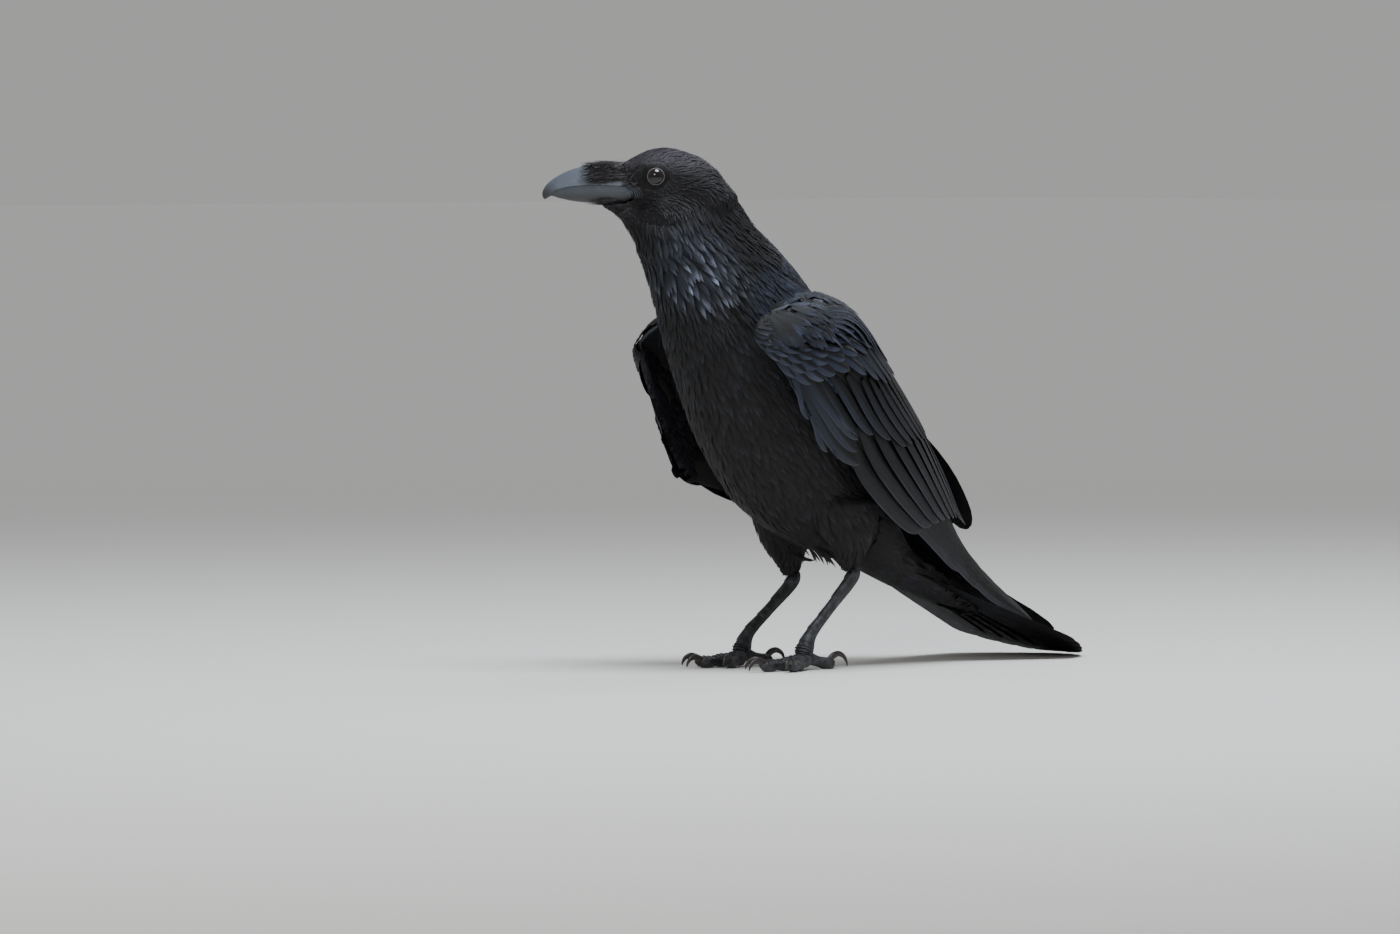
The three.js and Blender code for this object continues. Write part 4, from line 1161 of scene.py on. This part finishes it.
def joined(parts, name, finish):
    pick(*parts)
    bpy.ops.object.join()
    whole = bpy.context.object
    whole.name = name
    whole.data.materials.append(finish.material)
    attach(whole, "root")
    return whole


GAPE_FOLDS = 6
for side, side_name in SIDES:
    folds = []
    for i in range(GAPE_FOLDS):
        x = -34.5 + 1.8 * i
        path = [(px, surface_out(px, pz, side) + side * 0.4 * radius, pz, radius) for px, pz, radius in (
            (x - 5.5, -0.9 + 0.3 * i, 0.15), (x - 2.2, -2.4, 0.50), (x, -5.2, 0.60),
            (x + 0.3, -8.4, 0.55), (x - 1.6, -11.4 + 0.3 * i, 0.15))]
        spots = along_curve(np.array(path), np.linspace(0, 1, 18))
        middles, radii = spots[:, None, :3], spots[:, 3, None, None]
        tangent = unit(np.gradient(spots[:, :3], axis=0))
        across = unit(np.cross(tangent, np.array([0, side, 0.0])))
        lifted = unit(np.cross(across, tangent))
        angle = circle(10)[None, :, None]
        rings = middles + across[:, None] * (np.cos(angle) * radii) + lifted[:, None] * (np.sin(angle) * radii)
        folds.append(closed_loft(f"gape_fold_{side_name}_{i}", moved(rings * MM, FROM_HEAD)))
    gape = joined(folds, f"gape_{side_name}", gape_finish)

# ---- Nasal bristles and beard ----
# Stiff hair-like feathers that grow forward over the root of the upper bill and hide the nostrils,
# with shorter ones before the eyes, round the gape and under the chin.

bristle_finish = Finish("bristles")
light = bristle_finish.between(bristle_finish.attribute("tone"), 0.45, 1.0)
dark = bristle_finish.mix(light, (0.0045, 0.004, 0.0048), (0.058, 0.048, 0.058))
bristle_finish.shader(
    Base_Color=bristle_finish.mix(bristle_finish.attribute("reach") * 0.3, dark, (0.022, 0.020, 0.019)),
    Roughness=0.5,
    Specular_IOR_Level=0.35)

forward = np.array(FROM_HEAD.to_3x3() @ Vector((-1, 0, 0)))
down = np.array([0, 0, -1.0])
# In millimetres: name, count, x range, z range, spread to the side, length range, downward share, lift
BRISTLES = [
    ("nasal_bristles", 700, (-50, -34), (4, 17), 14, (11, 29), 0.08, 2.4),
    ("culmen_bristles", 220, (-54, -34), (15, 20), 6, (14, 22), 0.02, 1.6),
    ("lore_bristles", 220, (-40, -33), (4, 10), 15, (8, 14), 0.12, 1.4),
    ("beard", 520, (-57, -32), (-24, -12), 11, (8, 14), 0.12, 1.4),
    ("gape_bristles", 340, (-37, -28), (0.5, 7), 16, (4, 8), 0.22, 0.9)]
for name, count, xs, zs, aside, lengths, droop, lift in BRISTLES:
    side = np.where(rng.random(count) < 0.5, -1, 1)
    x = rng.uniform(*xs, count)
    z = rng.uniform(*zs, count)
    spots = moved(np.stack([x, side * aside * rng.uniform(0.1, 1, count), z], axis=1) * MM, FROM_HEAD)
    flow = unit(forward + droop * down + rng.normal(0, 0.10, (count, 3)))
    bristles = Feathers()
    bristles.lay(front_tree, spots, flow, rng.uniform(*lengths, count) * MM, 7,
                 lambda v: (0.3 + lift * v * rng.uniform(0.4, 1.2, count)[:, None]) * MM,
                 lambda v: (1 - 0.85 * v) * rng.uniform(0.28, 0.5, count)[:, None] * MM,
                 0.00022, places_on_unwrap(spots), camber=0.0)
    bristles.piece(name, bristle_finish.material, "plumage")

# ---- Eyes ----
# Dark brown wet eyes, each a full ball with a bulged cornea, set in a round rim of bare dark lids.
# Tiny feathers grow round each rim, rooted on the lids' outer slope.

EYE_RADIUS = 8.5
EYE_OUT = 13.6                # from the head's middle line to the ball's middle
PUPILS = [head_at(-14.6, side * (EYE_OUT + 8.9), 7) for side in (-1, 1)]
eye_finish = Finish("eye")
from_axis = eye_finish.distance(*PUPILS)
flecks = eye_finish.noise(eye_finish.place(), 700.0)
iris = eye_finish.mix(flecks, (0.006, 0.0035, 0.0025), (0.014, 0.008, 0.005))
ringed = eye_finish.mix(eye_finish.between(from_axis, 0.0036, 0.0041), (0.002, 0.002, 0.002), iris)
eye_finish.shader(
    Base_Color=eye_finish.mix(eye_finish.between(from_axis, 0.0062, 0.0069), ringed, (0.004, 0.004, 0.004)),
    Roughness=0.03)

lid_finish = Finish("eyelid")
rim = lid_finish.between(lid_finish.distance(*PUPILS), 0.0076, 0.0072)
lid_finish.shader(
    Base_Color=lid_finish.mix(rim, (0.0028, 0.0026, 0.0030), (0.095, 0.095, 0.102)),
    Roughness=0.7,
    Specular_IOR_Level=0.2,
    Normal=lid_finish.bump(lid_finish.noise(lid_finish.place(), 2200.0, 2.0), 0.4, 0.0003))

LASH_COUNT = 420
LID_PROFILE = [(5.9, 5.7), (6.1, 6.25), (6.35, 6.45), (6.65, 6.3), (6.85, 5.9), (7.3, 5.6), (8.2, 5.2),
               (9.4, 4.6), (10.6, 3.8), (11.4, 2.6), (10.8, 0.6), (7.6, 0.8)]
for side, side_name in SIDES:
    middle = head_at(-14.6, side * EYE_OUT, 7)
    outward = FROM_HEAD.to_3x3() @ Vector((0, side, 0))
    to_socket = Matrix.Translation(middle) @ outward.to_track_quat("Z", "Y").to_matrix().to_4x4()
    bpy.ops.object.select_all(action="DESELECT")
    bpy.ops.mesh.primitive_uv_sphere_add(
        segments=48, ring_count=32, radius=EYE_RADIUS * MM, location=(0, 0, 0))
    eye = bpy.context.object
    eye.name = f"eyeball_{side_name}"
    for vertex in eye.data.vertices:
        bulge = max(vertex.co.z / (EYE_RADIUS * MM) - 0.72, 0) / 0.28
        vertex.co *= 1 + 0.045 * bulge ** 0.8
    eye.data.transform(to_socket)
    bpy.ops.object.shade_smooth()
    eye.data.materials.append(eye_finish.material)
    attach(eye, "root")
    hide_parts(f"eye_{side_name}")

    angle = circle(56)
    radii, outs = np.array(LID_PROFILE).T[:, :, None]
    wrinkle = 1 + 0.012 * np.sin(angle * 19) * np.linspace(0, 1, len(radii))[:, None]
    rings = np.stack([radii * np.cos(angle)[None] * wrinkle, radii * np.sin(angle)[None] * wrinkle * 0.97,
                      np.broadcast_to(outs, wrinkle.shape)], axis=-1) * MM
    lid = closed_loft(f"eyelid_{side_name}", rings, lid_finish, around=True)
    lid.data.transform(to_socket)
    modify(lid, "SUBSURF", levels=1, render_levels=1)
    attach(lid, "root")

    angle = rng.uniform(0, 2 * math.pi, LASH_COUNT)
    radius = np.sqrt(rng.uniform(7.2 ** 2, 10.8 ** 2, LASH_COUNT))
    spots = np.stack([radius * np.cos(angle), radius * np.sin(angle), np.full(LASH_COUNT, 5.5)], axis=1)
    spots = moved(spots * MM, to_socket)
    outwards = unit(spots - np.array(middle) - np.array(outward) * 0.0055)
    lashes = Feathers()
    lashes.lay(tree_of(lid), spots, unit(lie_of_coat(spots) + 0.8 * outwards),
               rng.uniform(0.0028, 0.0042, LASH_COUNT), 4, lambda v: (0.15 + 0.75 * v) * MM,
               lambda v: (1 - 0.8 * v ** 2) * rng.uniform(0.0005, 0.0008, LASH_COUNT)[:, None],
               0.00012, places_on_unwrap(spots), camber=0.0)
    lashes.piece(f"eye_feathers_{side_name}", bpy.data.materials["head_feathers"], "plumage")

# ---- Shanks and toes ----
# Bare legs in dark slate skin: broad overlapping plates down the front of the shank, narrow folds at the
# ankle, a plate across each step of the toes, and round pads beneath their joints.

LEGS = {
    "left": {"side": -1, "heel": (31, -38, 71), "ankle": (-16, -37, 23)},
    "right": {"side": 1, "heel": (37, 36, 65), "ankle": (-13, 37, 21)},
}
TOES = {  # length, turn, pads, claw length
    "middle": (50, 0, 3, 15), "inner": (39, 27, 2, 14), "outer": (41, -27, 3, 13), "hind": (27, 180, 1, 18)}


def stepped(position):
    """A saw edge: each plate rises to its lower end and drops to the next."""
    return position - np.floor(position)


def shank_relief(share, angle):
    front = np.clip(-np.sin(angle) * 1.6 + 0.5, 0, 1)
    plates = stepped(share * 8.5) * 0.65
    folds = np.clip((share - 0.70) / 0.1, 0, 1) * (stepped(share * 26) * 1.5 - 0.4)
    groove = -0.5 * bell(np.cos(angle) ** 2 - 0.85, 0.12)
    plates = plates * (1 - 0.6 * np.clip((share - 0.72) / 0.1, 0, 1))
    return front * (plates + folds) + groove * (1 - front)


def toe_relief(length):
    def relief(share, angle):
        top = np.clip(np.sin(angle) * 1.8, 0, 1)
        below = np.clip(-np.sin(angle) * 1.5, 0, 1)
        plates = (1 - stepped(share * length / 3.6)) * 0.85
        grain = 0.12 * np.sin(angle * 9) * np.sin(share * length * 4.2)
        return top * plates + below * (grain + 0.1)
    return relief


leg_finish = Finish("leg_skin")
place = leg_finish.place()
grain = leg_finish.noise(place, 900.0)
cells = leg_finish.node("ShaderNodeTexVoronoi", {"feature": "DISTANCE_TO_EDGE"}, {
    "Vector": place, "Scale": 800.0}, "Distance")
# Painted sheen: lighter blue-grey slate in noise patches
sheen_patches = leg_finish.between(leg_finish.noise(place, 210.0, 4.0), 0.38, 0.68)
slate = leg_finish.mix(sheen_patches, (0.006, 0.006, 0.007), (0.036, 0.039, 0.048))
leg_finish.shader(
    Base_Color=leg_finish.mix(0.55 * leg_finish.between(cells, 0.10, 0.0), slate, (0.010, 0.009, 0.009)),
    Roughness=0.42 + 0.2 * grain,
    Normal=leg_finish.bump(leg_finish.between(cells, 0.0, 0.12) + 0.5 * grain, 0.45, 0.0003))

claw_finish = Finish("claw_horn")
place = claw_finish.place()
claw_finish.shader(
    Base_Color=claw_finish.mix(
        claw_finish.noise(place, 260.0), (0.008, 0.006, 0.0055), (0.030, 0.023, 0.019)),
    Roughness=0.30 + 0.2 * claw_finish.noise(place, 900.0),
    Normal=claw_finish.bump(claw_finish.noise(place, 1400.0, 2.0), 0.25, 0.0003))
CLAW_PROFILE = [(1, 0.9, 0.35), (0.95, 3.6, 1.05), (0.78, 6.9, 1.75), (0.45, 8.5, 2.35), (0.12, 7.2, 2.75),
                (-0.12, 5.4, 2.8)]

for leg_name, leg in LEGS.items():
    heel, ankle, side = leg["heel"], leg["ankle"], leg["side"]
    halfway = [(a + b) / 2 for a, b in zip(heel, ankle)]
    shank_rows = [(heel[0] - 1, heel[1], heel[2] + 9, 3.6, 4.2, 4.2), (*heel, 4.8, 5.8, 5.2),
                  (*halfway, 3.5, 4.3, 4.5), (ankle[0] + 4, ankle[1], ankle[2] + 5, 4.4, 4.9, 5.0),
                  (ankle[0] - 3, ankle[1], ankle[2] - 8, 7.0, 6.4, 7.2),
                  (ankle[0] - 5, ankle[1], ankle[2] - 15, 5.0, 4.0, 5.0)]
    rings = ring_loft(shank_rows, 150, 28, shank_relief) + np.array(ORIGIN)
    shank = closed_loft(f"shank_{leg_name}", rings, sharp=50)
    foot_place = Matrix.Translation(at(ankle[0], ankle[1], 0))
    parts = [shank]
    for toe_name, (length, turn, pads, claw_length) in TOES.items():
        rows = []
        for i in range(13):
            reach = 1 - i / 12
            pad = math.cos((reach - 0.83) * 2 * math.pi * pads)
            radius = 4.45 * (1.22 - 0.3 * reach) * (0.52 if i == 0 else 1)
            rows.append((-length * reach, 0, 3.9 + 5.6 * (1 - reach) ** 2, radius * 0.86 + 0.6 * pad,
                         radius * 0.80 + 0.4 * pad, radius + 0.9 * pad))
        rings = ring_loft(rows, 84, 20, toe_relief(length))
        rings[..., 2] = np.maximum(rings[..., 2], 0)
        toe = closed_loft(f"toe_{leg_name}_{toe_name}", rings, sharp=50)
        turned = foot_place @ Matrix.Rotation(math.radians(turn * side), 4, "Z")
        toe.data.transform(turned)
        parts.append(toe)

        arch = 1.3 if toe_name == "hind" else 1.0
        claw_rows = [(-(length - 2.5 + claw_length * reach), 0, height * (arch if 0 < reach < 1 else 1),
                      radius * 0.72, radius, radius) for reach, height, radius in CLAW_PROFILE]
        claw = closed_loft(f"nail_{leg_name}_{toe_name}", ring_loft(claw_rows, 26, 14), claw_finish, 60)
        claw.data.transform(turned)
        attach(claw, "root")
        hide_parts(f"claw_{leg_name}_{toe_name}")
    bare_leg = joined(parts, f"bare_leg_{leg_name}", leg_finish)
    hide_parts(f"tarsus_{leg_name}", f"foot_{leg_name}")

# ---- Studio ----
# A pale floor with a large soft light overhead, one from the bird's front left and a weaker one behind.
# The floor fades with distance into the backdrop, so that no horizon stands behind the bird.

VIEW_TARGET = at(-51.3, 47.9, 156)
VIEW_ALONG = Vector((0.682, 0.731, 0))
VIEW_DISTANCE = 8.0
VIEW_HEIGHT = math.radians(2)
VIEW_WIDTH = 1.092            # what the frame spans at the bird
SENSOR = 36
BACKDROP = (0.386, 0.386, 0.382)
BLACK = (0, 0, 0)


def place_towards_bird(item, location):
    item.location = location
    item.rotation_euler = (VIEW_TARGET - item.location).to_track_quat("-Z", "Y").to_euler()


camera_data = bpy.data.cameras.new("camera")
camera_data.sensor_width = SENSOR
camera_data.lens = SENSOR * VIEW_DISTANCE / VIEW_WIDTH
camera_data.clip_end = 60
camera = bpy.data.objects.new("camera", camera_data)
bpy.context.collection.objects.link(camera)
place_towards_bird(camera, VIEW_TARGET - VIEW_DISTANCE * (
    VIEW_ALONG * math.cos(VIEW_HEIGHT) - Vector((0, 0, math.sin(VIEW_HEIGHT)))))
bpy.context.scene.camera = camera

LIGHTS = [  # name, place from the bird, size, watts, colour
    ("overhead", (-0.2, -0.7, 2.3), 1.3, 92, (0.88, 0.94, 1.0)),
    ("front_left", (-2.6, -1.5, 1.6), 1.0, 22, (1.0, 0.97, 0.93)),
    ("behind", (2.2, 0.6, 1.9), 1.2, 16, (0.90, 0.95, 1.0))]
for name, place, size, watts, colour in LIGHTS:
    lamp = bpy.data.lights.new(name, "AREA")
    lamp.shape = "DISK"
    lamp.size = size
    lamp.energy = watts
    lamp.color = colour
    light = bpy.data.objects.new(name, lamp)
    bpy.context.collection.objects.link(light)
    place_towards_bird(light, VIEW_TARGET + Vector(place))

bpy.ops.object.select_all(action="DESELECT")
bpy.ops.mesh.primitive_plane_add(size=60, location=(0, 0, -0.0005))
floor = bpy.context.object
floor.name = "floor"
floor_finish = Finish("pale_floor")
depth = floor_finish.vector_math("DOT_PRODUCT", floor_finish.place(), VIEW_ALONG, "Value")
fade = floor_finish.between(depth, 0.6, 5.0)
floor.data.materials.append(floor_finish.shader(
    Base_Color=floor_finish.mix(fade, (0.66, 0.65, 0.63), BLACK),
    Roughness=0.8,
    Specular_IOR_Level=0.1,
    Emission_Color=floor_finish.mix(fade, BLACK, BACKDROP),
    Emission_Strength=1.0))

world = bpy.data.worlds.new("studio")
world.use_nodes = True
world.node_tree.nodes["Background"].inputs["Color"].default_value = (*BACKDROP, 1)
bpy.context.scene.world = world
